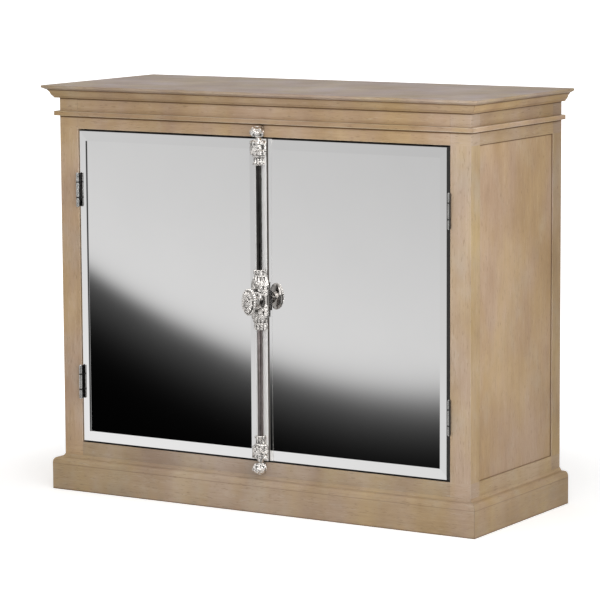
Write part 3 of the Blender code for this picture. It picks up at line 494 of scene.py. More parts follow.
# Each board's tint as shares of red, green and blue: partly its own tone, partly painted light and
# shade, such as the top board's grey sheen; boards not listed keep the plain colour.
boardTintsAndShade = {
    "top_board": (0.88, 1.01, 1.32),
    "rear_right_post": (0.74, 0.78, 0.84),
    "front_left_post": (0.93, 0.95, 0.97),
    "front_right_post": (0.88, 0.94, 1.00),
    "front_top_rail": (0.90, 0.92, 0.91),
    "front_bottom_rail": (0.76, 0.83, 0.92),
    "band_front": (0.80, 0.79, 0.74),
    "plinth_front": (0.80, 0.85, 0.88),
    "plinth_right": (0.82, 0.83, 0.75),
    "cornice_front": (0.78, 0.78, 0.70),
    "cornice_right": (0.91, 0.88, 0.72),
    "right_side_top_rail": (0.84, 0.86, 0.84),
    "right_side_bottom_rail": (0.84, 0.87, 0.80),
    "right_side_panel": (0.91, 0.91, 0.88),
}

caseFace = -0.169
caseSide = 0.514
caseRear = 0.235
caseCorners = ("front_left", "front_right", "rear_left", "rear_right")
posts = [corner + "_post" for corner in caseCorners]
opening = {"side": 0.466, "bottom": 0.1085, "top": 0.805, "depth": -0.120, "front": -0.160}
sideFrame = (-0.14, 0.21)    # between the posts, along Y
panelLines = {"top": 0.805, "rear": 0.195, "wide": 0.0030, "soft": 0.0014, "shares": (0.90, 0.62)}
capLine = {"height": 0.0575, "half": 0.0014, "share": 0.42}    # painted fine shadow line below the plinth's round


def cutAcross(shell, axis, *places):
    # Cuts the faces of a shell along flat planes square to one axis.
    for place in places:
        everything = shell.verts[:] + shell.edges[:] + shell.faces[:]
        point = [place if i == axis else 0.0 for i in range(3)]
        normal = [1.0 if i == axis else 0.0 for i in range(3)]
        bmesh.ops.bisect_plane(shell, geom=everything, plane_co=point, plane_no=normal)


def plinthLine(shell):
    # A fine painted shadow line below the plinth's round.
    look = capLine
    cutAcross(shell, 2, look["height"] - look["half"], look["height"], look["height"] + look["half"])
    layer = shell.verts.layers.float.new("shade_and_wax")
    for vert in shell.verts:
        vert[layer] = look["share"] if abs(vert.co.z - look["height"]) < 1e-5 else 0.0


def panelShadeAndWax(shell):
    # Painted shadow and dark wax along the top and the rear edge of a side panel, below the proud rail and
    # beside the rear post, as a share from 0 to 1.
    look = panelLines
    for axis, edge in ((2, look["top"]), (1, look["rear"])):
        cutAcross(shell, axis, edge - look["wide"] + look["soft"], edge - look["wide"])
    layer = shell.verts.layers.float.new("shade_and_wax")
    for vert in shell.verts:
        inTop = vert.co.z > look["top"] - look["wide"] + look["soft"] - 1e-5
        inRear = vert.co.y > look["rear"] - look["wide"] + look["soft"] - 1e-5
        vert[layer] = look["shares"][0] if inTop else look["shares"][1] if inRear else 0.0


def easeEdges(shell, nodeName, framing, outer):
    # Marks how much each edge is rounded. It stays crisp where boards meet flush, so that the joint is
    # hard to see, at mitres and along the back of the band.
    kind = {"band": "bandArris", "cornice": "mouldArris", "plinth": "mouldArris"}.get(nodeName.split("_")[0])
    usual = woodLook[kind or "innerArris"] / woodLook["arris"]
    weights = shell.edges.layers.float.new("bevel_weight_edge")
    for edge in shell.edges:
        if len(edge.link_faces) != 2:
            continue
        first, second = (face.normal for face in edge.link_faces)
        if first.angle(second) < math.radians(woodLook["flat"]):
            continue
        x, y, z = (edge.verts[0].co + edge.verts[1].co) / 2
        upright = abs(edge.verts[0].co.z - edge.verts[1].co.z) > 0.01
        byDoor = abs(abs(x) - opening["side"]) < 0.0005 and y < opening["front"]
        bySide = abs(abs(x) - caseSide) < 0.0005 and sideFrame[0] < y < sideFrame[1]
        aside = not opening["bottom"] < z < opening["top"]
        inFront = y < caseFace + 0.001 and abs(x) < caseSide - 0.001
        mitred = any(abs(abs(n.x) - abs(n.y)) < 0.01 and abs(n.z) < 0.1 for n in (first, second))
        backOfBand = nodeName.startswith("band") and y > caseFace - 0.001 and abs(x) < caseSide + 0.001
        if upright and aside and (byDoor or bySide):
            edge.smooth = False
        elif framing and inFront:
            edge[weights] = woodLook["openingArris"] / woodLook["arris"]
        elif mitred or backOfBand:
            edge.smooth = False
        else:
            onOuter = sum(all(abs(v.co[axis] - place) < 1e-4 for v in edge.verts) for axis, place in outer)
            edge[weights] = 1.0 if onOuter >= 2 else usual


def finishOf(face, nodeName, framing):
    # 0 own wood, 1 its arrises' wood, 2 painted shade of the door gaps, 3 wood across, 4 from front to back,
    # 5 the sides'
    x, y, z = face.calc_center_median()
    reach = min(opening["side"] - abs(x), z - opening["bottom"], opening["top"] - z)
    inOpening = framing and abs(face.normal.y) < 0.5 and face.normal.x < 0.5 and abs(reach) < 0.0006
    doorEdge = nodeName.endswith("door_core") and abs(face.normal.y) < 0.5
    if doorEdge or inOpening and y < opening["depth"]:
        return 2
    if nodeName.endswith("post") and not opening["bottom"] < z < opening["top"]:
        return 3 if abs(face.normal.y) > 0.5 else 4
    if nodeName.endswith("post") and abs(x) > caseSide - 0.001:
        return 5
    return 1 if nodeName == "top_board" and face.normal.z < 0.9 else 0


def board(nodeName, wood, edgeWood, outer=()):
    # A wooden piece with its edges eased. outer lists planes, as (axis, place), whose shared edges are
    # rounded most.
    node = nodes[nodeName]
    shell = mergedMesh(node)
    framing = nodeName.endswith(("post", "rail"))
    if nodeName.endswith("side_panel"):
        panelShadeAndWax(shell)
    if nodeName.startswith("plinth"):
        plinthLine(shell)
    if nodeName.endswith("post"):
        cutAcross(shell, 2, opening["bottom"], opening["top"])
    easeEdges(shell, nodeName, framing, outer)
    for face in shell.faces:
        face.smooth = not framing
        face.material_index = finishOf(face, nodeName, framing)
    finishes = (wood, edgeWood, gapShadeWood, oakBoards["X"], oakBoards["Y"], oakSideWarmLight)
    mesh = meshFrom(shell, nodeName + "_board", *finishes)
    made = addPiece(nodeName + "_wood", mesh, body_of(node)[0], nodeName)
    inCorners = 0.0 if framing or nodeName == "top_board" else 1.0
    # the tint, partly painted light and shade, and the share of painted corner shade and wax kept
    made.color = (*boardTintsAndShade.get(nodeName, (1.0, 1.0, 1.0)), inCorners)
    easing = made.modifiers.new("easing", "BEVEL")
    easing.width = woodLook["arris"]
    easing.segments = woodLook["steps"]
    easing.limit_method = "WEIGHT"
    easing.material = 1
    easing.harden_normals = True
    easing.use_clamp_overlap = True


outerPlanes = {}
for name in posts:
    side = caseSide if "right" in name else -caseSide
    outerPlanes[name] = ((0, side), (1, caseFace if "front" in name else caseRear))
grainRuns = {
    "Z": [*posts, "left_side_panel", "right_side_panel", "left_door_core", "right_door_core"],
    "X": ["front_top_rail", "front_bottom_rail", "back_top_rail", "back_bottom_rail", "top_board",
          "cornice_front", "band_front", "plinth_front", "bottom_board", "shelf", "door_stop"],
    "Y": ["left_side_top_rail", "left_side_bottom_rail", "right_side_top_rail", "right_side_bottom_rail",
          "cornice_left", "cornice_right", "band_left", "band_right", "plinth_left", "plinth_right",
          "left_bearer", "right_bearer"],
}
# boards whose edges get the lighter wood: partly wear, partly painted highlight
rubbed = [*posts, "front_top_rail", "band_front", "band_left", "band_right"]
for runAxis, names in grainRuns.items():
    for name in names:
        edgeWood = oakEdges[runAxis] if name in rubbed else oakBoards[runAxis]
        if name == "top_board":
            edgeWood = oakRim
        board(name, oakBoards[runAxis], edgeWood, outerPlanes.get(name, ()))
board("back_panel", plywood, plywood)
print("wooden pieces made")


paneLook = {
    "margin": 0.4563,    # where the right pane's margin starts, painted dark as the shade of the gap beside the hinges
    "topMargin": 0.8003,    # and the one along both panes' top edge, painted as the shade of the gap above
}


def mirrorPane(nodeName):
    # Silvered front and bevels, and ground edges and back.
    node = nodes[nodeName]
    shell = mergedMesh(node)
    cutAcross(shell, 0, paneLook["margin"])
    cutAcross(shell, 2, paneLook["topMargin"])
    for face in shell.faces:
        spot = face.calc_center_median()
        inner = nodeName == "right_mirror" and face.normal.x < -0.5
        face.material_index = 0 if face.normal.y < -0.5 or inner else 1
        # the dark margins are painted shade of the door gaps
        if spot.z > paneLook["topMargin"] or nodeName == "right_mirror" and spot.x > paneLook["margin"]:
            face.material_index = 2
    mesh = meshFrom(shell, nodeName + "_glass", mirror, groundEdge, gapShadeMargin)
    made = addPiece(nodeName + "_glass", mesh, body_of(node)[0], nodeName)


for name in ("left_mirror", "right_mirror"):
    mirrorPane(name)


sharpTurn = 35.0    # metal edges with a larger turn in degrees stay sharp


def smoothCopy(nodeName, finish):
    # A rounded metal piece from its node, with soft shading across its facets.
    node = nodes[nodeName]
    mesh = meshFrom(mergedMesh(node), nodeName + "_metal", finish)
    mesh.shade_smooth()
    mesh.set_sharp_from_angle(angle=math.radians(sharpTurn))
    made = addPiece(nodeName + "_metal", mesh, body_of(node)[0], nodeName)


for name in nodes:
    if "hinge" in name:
        smoothCopy(name, hingeSteel)
shelfPins = [corner + "_shelf_pin" for corner in caseCorners]
for name in (*shelfPins, "magnetic_catch", "gearbox_plate", "spindle", "pinion"):
    smoothCopy(name, plainSteel)
smoothCopy("catch_strike", plainSteel)

smoothCopy("upper_rod", upperRodMetal)
smoothCopy("lower_rod", lowerRodMetal)

stripLook = {
    # corners in X and Y, going round from the left edge of the back
    "profile": ((-0.0045, -0.1672), (-0.0045, -0.1722), (-0.0037, -0.1730), (0.0244, -0.1730),
                (0.0249, -0.1724), (0.0264, -0.1685), (0.0340, -0.1685), (0.0340, -0.1635),
                (0.0030, -0.1635), (0.0030, -0.1672)),
    "levels": (0.112, 0.1345, 0.8015),    # lower end, top of the lower bevel and upper end
    # satin, painted dark side or mirror bright for each face, below and above the lower bevel's top
    "finish": ((0, 0, 0, 0, 1, 0, 0, 0, 0, 0), (0, 0, 0, 0, 1, 2, 0, 0, 0, 0)),
}


def coverStrip():
    # The satin strip, its right side painted dark as shade, and a mirror-bright margin that carries on the
    # right pane.
    look = stripLook
    count = len(look["profile"])
    points = [(x, y, level) for level in look["levels"] for x, y in look["profile"]]
    last = len(points) - count
    faces = [tuple(range(count))[::-1], tuple(range(last, last + count))]
    for ring in range(0, last, count):
        for i in range(count):
            after = ring + (i + 1) % count
            faces.append((ring + i, after, after + count, ring + i + count))
    mesh = bpy.data.meshes.new("cover_strip_metal")
    mesh.from_pydata(points, [], faces)
    shell = bmesh.new()
    shell.from_mesh(mesh)
    bmesh.ops.recalc_face_normals(shell, faces=shell.faces)
    shell.to_mesh(mesh)
    shell.free()
    for finish in (satinSilver, darkSide, mirror):
        mesh.materials.append(finish)
    mesh.polygons.foreach_set("material_index", [0, 0, *look["finish"][0], *look["finish"][1]])
    made = addPiece("cover_strip_metal", mesh, "left_door", "cover_strip")


coverStrip()
print("glass and plain metal pieces made")


boltLook = {
    "axis": (0.0115, -0.1815),    # rods and pinion, in X and Y
    "back": -0.1733,    # face that the castings sit on
    "middle": 0.4597,    # height of the knob
    "bore": 0.0065,    # radius of the holes for the rods
    "girth": 0.0175,    # radius at which turns round the axis are measured as lengths
    "cell": 0.00042,    # size of the fine grid that carries the relief
    "coverCell": 0.00050,    # and on the gearbox cover, the largest casting
    "depth": 0.0021,    # from the tops of the leaves, at the CAD's surface, to the ground
    # the relief starts and is full at these distances from a bore and from the back; less on the flanks
    "offBore": (0.0008, 0.0024),
    "offBack": (0.0006, 0.0026),
    "flank": (0.0165, 0.0200),
    "flankLoss": 0.45,
    # the cover's hollow inside, its plain ring round the spindle and its plain front face
    "inside": (0.0156, -0.1873, 0.0385),
    "collar": (0.0152, 0.0166),
    "face": -0.1990,
    "ground": 0.30,    # share of the relief that is left in a pit
    "ovalTop": 0.8,    # height of a dark oval as a share of the depth
    "guide": 0.0125,    # radius of a guide's far end in the CAD
    "guideEnd": 0.0539,    # height of that end above the collar's foot
    "nozzle": 0.0078,    # radius of the plain neck drawn there instead
    "footNarrowing": 0.42,    # share by which a keeper's foot is narrower than its front
    "foot": (-0.002, 0.013),    # it narrows between these distances from the back
    "offFoot": (0.0004, 0.0036),
}


def fineShell(nodeName, cell):
    # The node's own solid on a fine even grid: places, outward normals and faces.
    coarse = newObject("coarse", meshFrom(mergedMesh(nodes[nodeName]), "coarse"))
    grid = coarse.modifiers.new("grid", "REMESH")
    grid.mode = "VOXEL"
    grid.voxel_size = cell
    fine = coarse.evaluated_get(bpy.context.evaluated_depsgraph_get()).to_mesh()
    places = np.empty(len(fine.vertices) * 3)
    fine.vertices.foreach_get("co", places)
    normals = np.empty(len(fine.vertices) * 3)
    fine.vertex_normals.foreach_get("vector", normals)
    corners = np.empty(len(fine.loops), dtype=np.int32)
    fine.loops.foreach_get("vertex_index", corners)
    starts = np.empty(len(fine.polygons), dtype=np.int32)
    fine.polygons.foreach_get("loop_start", starts)
    bpy.data.objects.remove(coarse, do_unlink=True)
    return places.reshape(-1, 3), normals.reshape(-1, 3), corners, starts


def meshOf(name, places, corners, starts, relief):
    mesh = bpy.data.meshes.new(name)
    mesh.vertices.add(len(places))
    mesh.vertices.foreach_set("co", places.astype(np.float32).ravel())
    mesh.loops.add(len(corners))
    mesh.loops.foreach_set("vertex_index", corners)
    mesh.polygons.add(len(starts))
    mesh.polygons.foreach_set("loop_start", starts)
    mesh.update(calc_edges=True)
    mesh.validate()
    layer = mesh.attributes.new("relief", "FLOAT", "POINT")
    layer.data.foreach_set("value", relief.astype(np.float32))
    mesh.shade_smooth()
    return mesh


def step(value, low, high):
    # Smooth rise from 0 at low to 1 at high.
    share = np.clip((value - low) / (high - low), 0.0, 1.0)
    return share * share * (3 - 2 * share)


def leaf(across, along):
    # A lobed leaf with its root at along 0 and its tip at 1; across runs from -1 to 1. The body is a
    # rounded ridge that rises towards the tip, a rib runs down its middle, veins slant out to the lobes.
    lobes = 4.0
    inside = (along > 0.0) & (along < 1.0)
    a = np.clip(along, 0.0, 1.0)
    wide = 0.92 * np.sin(np.pi * (0.14 + 0.86 * a)) ** 0.5 * (1 + 0.14 * np.cos(2 * np.pi * lobes * a))
    side = np.abs(across) / np.maximum(wide, 1e-3)
    body = np.sqrt(np.clip(1 - side ** 2, 0.0, 1.0)) * (0.45 + 0.55 * a)
    rib = 0.22 * np.exp(-(across / 0.10) ** 2)
    veins = 0.30 * np.cos(np.pi * (lobes * a - 1.5 * np.abs(across))) ** 2 * step(np.abs(across), 0.08, 0.3)
    curl = 0.30 * np.exp(-((a - 0.86) / 0.09) ** 2) * np.clip(1 - side, 0.0, 1.0)
    return np.where(inside & (side < 1), body * (1 - veins) + rib * body + curl, 0.0)


def leafRow(turn, height, count, root, tip, phase=0.0):
    # Leaves side by side round the axis, from their roots at one height to their tips at another.
    along = (height - root) / (tip - root)
    cell = turn * count / (2 * np.pi) + phase
    across = 2 * (cell - np.floor(cell)) - 1
    return leaf(across, along)


def scroll(turn, height, atTurn, atHeight, radius, hand):
    # A volute: a rounded ridge whose distance from the eye grows evenly with the angle round it.
    dx = (turn - atTurn) * boltLook["girth"] * hand
    dz = height - atHeight
    far = np.hypot(dx, dz) / radius
    angle = np.arctan2(dz, dx) / (2 * np.pi)
    ridge = np.zeros_like(far)
    for lap in range(3):
        line = 0.18 + 0.36 * (angle + lap)
        ridge = np.maximum(ridge, np.exp(-((far - line) / 0.11) ** 2) * (line > 0.1) * (line < 1.0))
    eye = np.sqrt(np.clip(1 - (far / 0.24) ** 2, 0.0, 1.0))
    return np.maximum(0.95 * ridge, eye)


# Ornament of each kind of casting. Leaves: share of the full depth, how many go round, heights of root and
# tip, and turn as a share of a leaf. Rings: share, height, softness. Scrolls, in pairs left and right:
# share, turn, height, radius and hand.
ornaments = {
    "cover": {
        "leaves": ((0.9, 9, 0.0250, 0.0395, 0.5), (1.0, 9, 0.0325, 0.0500, 0.0),
                   (0.9, 8, 0.0515, 0.0650, 0.5)),
        "rings": ((0.95, 0.0512, 0.0012),),
        "scrolls": ((1.0, 1.18, 0.0165, 0.0085, 1), (0.8, 0.62, 0.0245, 0.0062, -1)),
    },
    "guide": {
        "leaves": ((1.0, 8, 0.0150, 0.0010, 0.0), (0.9, 9, 0.0200, 0.0335, 0.5),
                   (1.0, 9, 0.0420, 0.0545, 0.0)),
        "rings": ((1.0, 0.0012, 0.0010), (0.9, 0.0178, 0.0012), (0.75, 0.0380, 0.0048)),
        "scrolls": ((1.0, 0.42, 0.0300, 0.0058, 1), (0.9, 1.25, 0.0440, 0.0060, -1)),
    },
    "keeper": {
        "leaves": ((0.95, 7, 0.0020, 0.0150, 0.0), (1.0, 7, 0.0080, 0.0225, 0.5),
                   (0.8, 5, 0.0160, 0.0260, 0.0)),
    },
}


def ornament(kind, turn, height):
    # The highest of the leaves, rings and scrolls at each place.
    look = ornaments[kind]
    relief = np.zeros_like(turn)
    for share, count, root, tip, phase in look["leaves"]:
        relief = np.maximum(relief, share * leafRow(turn, height, count, root, tip, phase))
    for share, place, soft in look.get("rings", ()):
        relief = np.maximum(relief, share * np.exp(-((height - place) / soft) ** 2))
    for share, atTurn, atHeight, radius, hand in look.get("scrolls", ()):
        relief = np.maximum(relief, share * scroll(np.abs(turn), height, atTurn, atHeight, radius, hand))
    return relief


def coverRelief(turn, height, x, z):
    # height is measured from the knob's centre; beads go round the knob's neck
    relief = ornament("cover", turn, np.abs(height))
    dots = 0.5 + 0.5 * np.cos(np.arctan2(z, x) * 30)
    beads = np.exp(-((np.hypot(x, z) - 0.0172) / 0.0009) ** 2) * (0.5 + 0.5 * dots)
    return np.maximum(relief, beads)


def guideRelief(turn, height, x, z):
    # height runs from the collar's foot to the end of the door; a rim frames the oval
    relief = ornament("guide", turn, height)
    across = (turn - 1.06) * boltLook["girth"] / 0.0046
    rim = np.exp(-((np.hypot(across, (height - 0.0395) / 0.0074) - 1) / 0.14) ** 2)
    return np.maximum(relief, 0.9 * rim)


def keeperRelief(turn, height, x, z):
    # height runs from the mouth, which has a roll of beads
    relief = ornament("keeper", turn, height)
    dots = 0.5 + 0.5 * np.cos(turn * 18)
    return np.maximum(relief, np.exp(-((height - 0.0014) / 0.0011) ** 2) * (0.35 + 0.65 * dots))


def pits(turn, height):
    # Small hollows in a close staggered pattern, from 0 at their bottoms to 1 between them.
    around = np.cos(turn * 25 + 1.7 * np.sin(height * 520))
    along = np.cos(height * 2 * np.pi / 0.0046 + 1.3 * np.cos(turn * 9))
    return 1 - step(around * along, 0.40, 0.80)


# Ovals that stand dark among the leaves: turn, height and half sizes. The one on the gearbox cover is painted
# shade where the knob's seat is shaded.
ovals = {"gearbox_cover": (0.92, -0.0015, 0.0062, 0.0140), "upper_guide": (1.06, 0.0395, 0.0036, 0.0060)}


def darkOval(nodeName, turn, height):
    if nodeName not in ovals:
        return np.zeros_like(turn)
    atTurn, atHeight, wide, tall = ovals[nodeName]
    far = np.hypot((turn - atTurn) * boltLook["girth"] / wide, (height - atHeight) / tall)
    return 1 - step(far, 0.88, 1.08)


def chase(nodeName, reliefOf, start, sign, neck):
    # Carves the relief into the outer faces only, so the bores, the seat and the back stay as they fit.
    look = boltLook
    bore = look["bore"]
    cell = look["coverCell"] if nodeName == "gearbox_cover" else look["cell"]
    places, normals, corners, starts = fineShell(nodeName, cell)
    axisX, axisY = look["axis"]
    x = places[:, 0] - axisX
    y = places[:, 1] - axisY
    height = (places[:, 2] - start) * sign
    turn = np.arctan2(x, -y)
    relief = reliefOf(turn, height, x, places[:, 2] - start)
    near, full = look["offBore"]
    keep = step(np.hypot(x, y), bore + near, bore + full)
    keep *= step(look["back"] - places[:, 1], *look["offBack"])
    keep *= 1 - look["flankLoss"] * step(np.abs(x), *look["flank"])
    if nodeName == "gearbox_cover":
        wide, deep, tall = look["inside"]
        inside = (np.abs(x) < wide) & (places[:, 1] > deep) & (np.abs(height) < tall)
        keep *= np.where(inside, 0.0, 1.0) * step(np.hypot(x, height), *look["collar"])
        keep *= np.where(places[:, 1] < look["face"], 0.0, 1.0)
    oval = darkOval(nodeName, turn, height)
    relief = np.clip(relief, 0.0, 1.15) * (look["ground"] + (1 - look["ground"]) * pits(turn, height))
    lift = (np.maximum(relief, look["ovalTop"] * oval) - 1) * look["depth"]
    places = places + normals * (lift * keep)[:, None]
    far = np.hypot(places[:, 0] - axisX, places[:, 1] - axisY)
    if nodeName.endswith("guide"):
        # the far end narrows to a plain round neck
        narrow = step(height, look["guideEnd"] - neck - 0.0016, look["guideEnd"] - neck)
        wanted = bore + (far - bore) * (look["nozzle"] - bore) / look["guide"]
        scale = 1 + np.where(far > bore + 1e-4, narrow * (wanted / far - 1), 0.0)
        places[:, 0] = axisX + (places[:, 0] - axisX) * scale
        places[:, 1] = axisY + (places[:, 1] - axisY) * scale
        relief = np.maximum(relief, narrow)
    if nodeName.endswith("keeper"):
        # the back is drawn in to a narrow foot on the frame
        foot = 1 - step(look["back"] - places[:, 1], *look["foot"])
        near, full = look["offFoot"]
        foot *= look["footNarrowing"] * step(far, bore + near, bore + full)
        places[:, 0] = axisX + (places[:, 0] - axisX) * (1 - foot)
    shown = (1 - keep * (1 - np.clip(relief, 0.0, 1.0))) * (1 - oval)
    mesh = meshOf(nodeName + "_casting", places, corners, starts, shown)
    mesh.materials.append(castSilver)
    made = addPiece(nodeName + "_casting", mesh, body_of(nodes[nodeName])[0], nodeName)
    made.visible_glossy = False    # the photo's mirrors show the knob but none of these castings
    print("casting", nodeName, len(starts), "faces")


# Each casting's relief, the height it is measured from and which way, and the length of its neck.
castings = {
    "gearbox_cover": (coverRelief, boltLook["middle"], 1, 0.0),
    "upper_guide": (guideRelief, 0.7464, 1, 0.0010),
    "lower_guide": (guideRelief, 0.1671, -1, 0.0045),
    "upper_keeper": (keeperRelief, 0.8058, 1, 0.0),
    "lower_keeper": (keeperRelief, 0.1077, -1, 0.0),
}
for name, settings in castings.items():
    chase(name, *settings)


knobLook = {
    "halves": (0.0170, 0.0290),    # half width and half height of the head
    "depth": 0.0022,
    "front": (0.2205, 0.2250),    # where the relief starts and is full, in front of the origin
    "neck": (0.0085, 0.0105),    # the polished back is painted dark, as the reflection it shows, outside these radii
    "paintedDarkReflection": 0.80,
}


def chasedKnob():
    # Oval head: beaded rim, ring of leaves and small rosette on the front, and a plain polished back whose
    # darkness is a painted reflection
    look = boltLook
    places, normals, corners, starts = fineShell("knob", look["cell"])
    x = places[:, 0] - look["axis"][0]
    z = places[:, 2] - look["middle"]
    wide, tall = knobLook["halves"]
    far = np.hypot(x / wide, z / tall)
    angle = np.arctan2(z / tall, x / wide)
    ring = 0.95 * leafRow(angle, 1 - far, 12, 0.66, 0.14, 0.0)
    ring = np.maximum(ring, 0.8 * leafRow(angle, 1 - far, 12, 0.52, 0.24, 0.5))
    rosette = np.exp(-((far - 0.30) / 0.035) ** 2) * 0.8
    petals = np.sqrt(np.clip(1 - (far / 0.26) ** 2, 0.0, 1.0)) * (0.7 + 0.3 * np.cos(angle * 6))
    dots = 0.5 + 0.5 * np.cos(angle * 34)
    rim = np.exp(-((far - 0.985) / 0.045) ** 2) * (0.35 + 0.65 * dots)
    relief = np.maximum.reduce([ring, rosette, petals, rim]) * (0.35 + 0.65 * pits(angle * 0.8, far * 0.024))
    front = step(-places[:, 1], *knobLook["front"])
    lift = relief * knobLook["depth"] - knobLook["depth"]
    places = places + normals * (lift * front)[:, None]
    # painted reflection: the back is dark outside the neck
    back = step(places[:, 1], -0.2240, -0.2215) * step(np.hypot(x, z), *knobLook["neck"])
    shown = (1 - front * (1 - np.clip(relief, 0.0, 1.0))) * (1 - knobLook["paintedDarkReflection"] * back)
    mesh = meshOf("knob_casting", places, corners, starts, shown)
    mesh.materials.append(castSilver)
    made = addPiece("knob_casting", mesh, "bolt_knob", "knob")
    print("casting knob", len(starts), "faces")


chasedKnob()
print("castings made")


studio = {
    "skyForMatte": 0.47,
    "floorTone": 0.90,
    "floorReach": 40.0,
    "floorLift": (0.42, 1.0),    # own light of the floor near the cabinet and far from it
    "liftAt": (0.6, 1.6),    # near and far, from the middle
    "aim": (0.0, 0.0, 0.5),
    "lamps": {
        "key_softbox": ((1.8, -2.3, 1.5), 38.0, 2.2, True),
        "side_softbox": ((1.7, -0.9, 0.8), 5.0, 0.8, False),
        "fill_softbox": ((-2.8, -2.4, 2.0), 10.0, 2.4, False),
        "top_softbox": ((0.0, -0.4, 3.4), 7.0, 2.0, False),
    },
}


def makeFloor():
    mesh = bpy.data.meshes.new("floor")
    reach = studio["floorReach"]
    mesh.from_pydata([(-reach, -reach, 0), (reach, -reach, 0), (reach, reach, 0), (-reach, reach, 0)], [],
                     [(0, 1, 2, 3)])
    floor = newObject("studio_floor", mesh)
    made, tree, shader = newMaterial("pale_floor")
    tree.nodes.remove(shader)
    out = tree.nodes["Material Output"]
    place = placeIn(tree)
    away = put(tree, "VectorMath", {0: place}, operation="LENGTH").outputs["Value"]
    tone = studio["floorTone"]
    matte = put(tree, "BsdfDiffuse", {"Color": (tone, tone, tone, 1.0)}).outputs[0]
    seen = put(tree, "LightPath").outputs["Is Camera Ray"]
    lift = times(tree, seen, ease(tree, away, *studio["liftAt"], *studio["floorLift"]))
    glow = put(tree, "Emission", {"Color": (1, 1, 1, 1), "Strength": lift}).outputs[0]
    feed(tree, out, {"Surface": put(tree, "AddShader", {0: matte, 1: glow}).outputs[0]})
    mesh.materials.append(made)
    floor.visible_glossy = False


mirrorView = {
    "light": (205.9, 1.94, 4.59),    # tone, and its change with the azimuth and with the pitch
    "edge": (8.986, -0.3786, -0.0515),  # pitch of the dark edge, and its slope and curve
    "edgeWidth": (0.161, -0.0152),
    "firstFall": 0.667,
    "secondEdge": (0.832, 0.343),
    "dark": 9.9,
    "aim": 32.5,    # azimuth that the mirrors reflect in the middle of the picture
    "held": 5.0,    # the formulas hold this far to both sides of it
    "pitchHeld": (4.0, 10.0),
    "pitchMiddle": 7.0,
    "silver": 0.915,    # share of light that the mirrors give back
    "azimuths": (21.5, 27.0, 40.0, 46.0),
    "pitches": (11.6, 13.2),
    "ceiling": (-45.0, -12.0, 1.15, 0.0),    # pitches, and light there
    # dark stretches that only the bolt sees: azimuths and softness, pitches and softness, strength
    "stretches": ((-58.0, -8.0, 4.0, -30.0, 45.0, 8.0, 0.90), (62.0, 84.0, 4.0, -50.0, 45.0, 8.0, 0.88)),
}


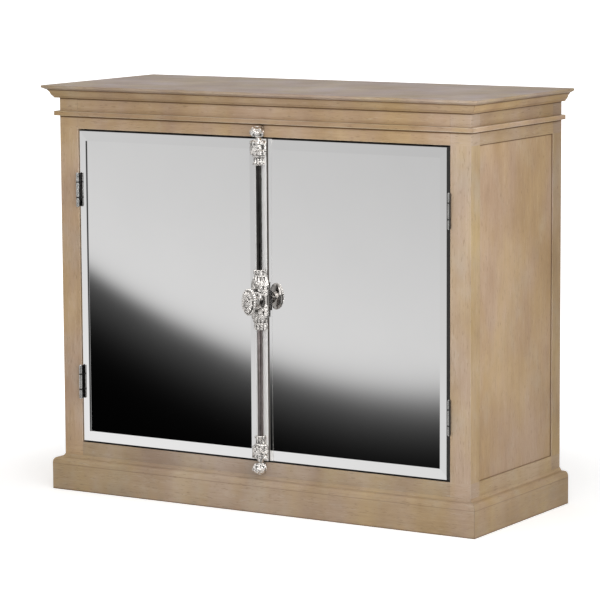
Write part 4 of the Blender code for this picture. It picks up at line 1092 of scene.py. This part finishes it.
def makeWorld():
    # Matte surfaces see an even pale room and the camera sees white. Glossy ones see a pale studio with
    # one dark stretch low in front of the cabinet, whose soft upper edge is the one seen in the mirrors.
    world = bpy.data.worlds.new("studio")
    bpy.context.scene.world = world
    world.use_nodes = True
    tree = world.node_tree
    look = mirrorView
    direction = put(tree, "SeparateXYZ", {0: put(tree, "TexCoord").outputs["Generated"]}).outputs
    back = [times(tree, direction[i], -1.0) for i in range(3)]
    azimuth = times(tree, sums(tree, "ARCTAN2", back[0], back[1]), 180 / math.pi)
    pitch = times(tree, sums(tree, "ARCSINE", back[2]), 180 / math.pi)

    def hold(value, low, high):
        return sums(tree, "MINIMUM", most(tree, value, low), high)

    def fall(edge, width):
        steep = sums(tree, "DIVIDE", sums(tree, "SUBTRACT", edge, pitch), width)
        return sums(tree, "DIVIDE", 1.0, plus(tree, 1.0, sums(tree, "EXPONENT", steep)))

    turned = hold(sums(tree, "SUBTRACT", azimuth, look["aim"]), -look["held"], look["held"])
    raised = sums(tree, "SUBTRACT", hold(pitch, *look["pitchHeld"]), look["pitchMiddle"])
    level, slope, curve = look["edge"]
    bend = times(tree, times(tree, turned, turned), curve)
    edge = plus(tree, level, plus(tree, times(tree, turned, slope), bend))
    level, slope = look["edgeWidth"]
    first = fall(edge, plus(tree, level, times(tree, turned, slope)))
    drop, width = look["secondEdge"]
    second = fall(plus(tree, edge, drop), width)
    share = look["firstFall"]
    darkness = plus(tree, times(tree, first, share), times(tree, second, 1 - share))
    low, inLow, inHigh, high = look["azimuths"]
    window = times(tree, ease(tree, azimuth, low, inLow), ease(tree, azimuth, inHigh, high, 1.0, 0.0))
    window = times(tree, window, ease(tree, pitch, *look["pitches"], 1.0, 0.0))
    darkness = times(tree, darkness, window)
    level, byTurn, byPitch = look["light"]
    tone = plus(tree, plus(tree, level, times(tree, turned, byTurn)), times(tree, raised, byPitch))
    bright = times(tree, tone, sums(tree, "SUBTRACT", 1.0, darkness))
    tone = plus(tree, bright, times(tree, darkness, look["dark"]))
    glow = sums(tree, "POWER", sums(tree, "DIVIDE", tone, 255.0), 2.2)
    glow = sums(tree, "DIVIDE", glow, look["silver"])
    for left, right, soft, upper, lower, fade, strength in look["stretches"]:
        shade = times(tree, ease(tree, azimuth, left - soft, left + soft),
                      ease(tree, azimuth, right - soft, right + soft, strength, 0.0))
        shade = times(tree, shade, ease(tree, pitch, upper - fade, upper + fade))
        shade = times(tree, shade, ease(tree, pitch, lower - fade, lower + fade, 1.0, 0.0))
        glow = times(tree, glow, sums(tree, "SUBTRACT", 1.0, shade))
    glow = most(tree, glow, ease(tree, pitch, *look["ceiling"]))

    path = put(tree, "LightPath").outputs
    plain = (studio["skyForMatte"],) * 3
    glossy = put(tree, "CombineXYZ", {i: glow for i in range(3)}).outputs[0]
    colour = blend(tree, path["Is Glossy Ray"], plain, glossy)
    seen = most(tree, path["Is Camera Ray"], path["Is Transmission Ray"])
    colour = blend(tree, seen, colour, (1.0, 1.0, 1.0))
    tree.links.new(colour, tree.nodes["Background"].inputs["Color"])


def makeLamp(name, place, power, size, inMetal):
    # A square softbox; inMetal says whether polished faces show it.
    lamp = bpy.data.lights.new(name, "AREA")
    lamp.energy = power
    lamp.size = size
    made = newObject(name, lamp)
    made.location = place
    made.rotation_euler = (Vector(studio["aim"]) - Vector(place)).to_track_quat("-Z", "Y").to_euler()
    made.visible_glossy = inMetal


cameraLook = {
    "place": (3.45631, -5.57425, 1.33154),
    "turn": 31.8045,    # degrees to the left of straight ahead
    "tilt": 7.7664,    # degrees down
    "roll": -0.3476,
    "lens": 182.615,
    "sensor": 36.0,
    "farthest": 200.0,    # what is seen, in metres
}


def makeCamera():
    look = cameraLook
    turn, tilt, roll = (math.radians(look[key]) for key in ("turn", "tilt", "roll"))
    ahead = Vector((-math.sin(turn) * math.cos(tilt), math.cos(turn) * math.cos(tilt), -math.sin(tilt)))
    level = Vector((math.cos(turn), math.sin(turn), 0))
    upward = level.cross(ahead)
    right = level * math.cos(roll) + upward * math.sin(roll)
    upright = upward * math.cos(roll) - level * math.sin(roll)
    camera = bpy.data.cameras.new("camera")
    camera.lens = look["lens"]
    camera.sensor_width = look["sensor"]
    camera.clip_end = look["farthest"]
    made = newObject("camera", camera)
    made.matrix_world = Matrix([(right[i], upright[i], -ahead[i], look["place"][i]) for i in range(3)]
                               + [(0, 0, 0, 1)])
    bpy.context.scene.camera = made


makeFloor()
makeWorld()
for lampName, settings in studio["lamps"].items():
    makeLamp(lampName, *settings)
makeCamera()
bpy.context.scene.view_settings.view_transform = "Standard"
print("floor, light and camera made")
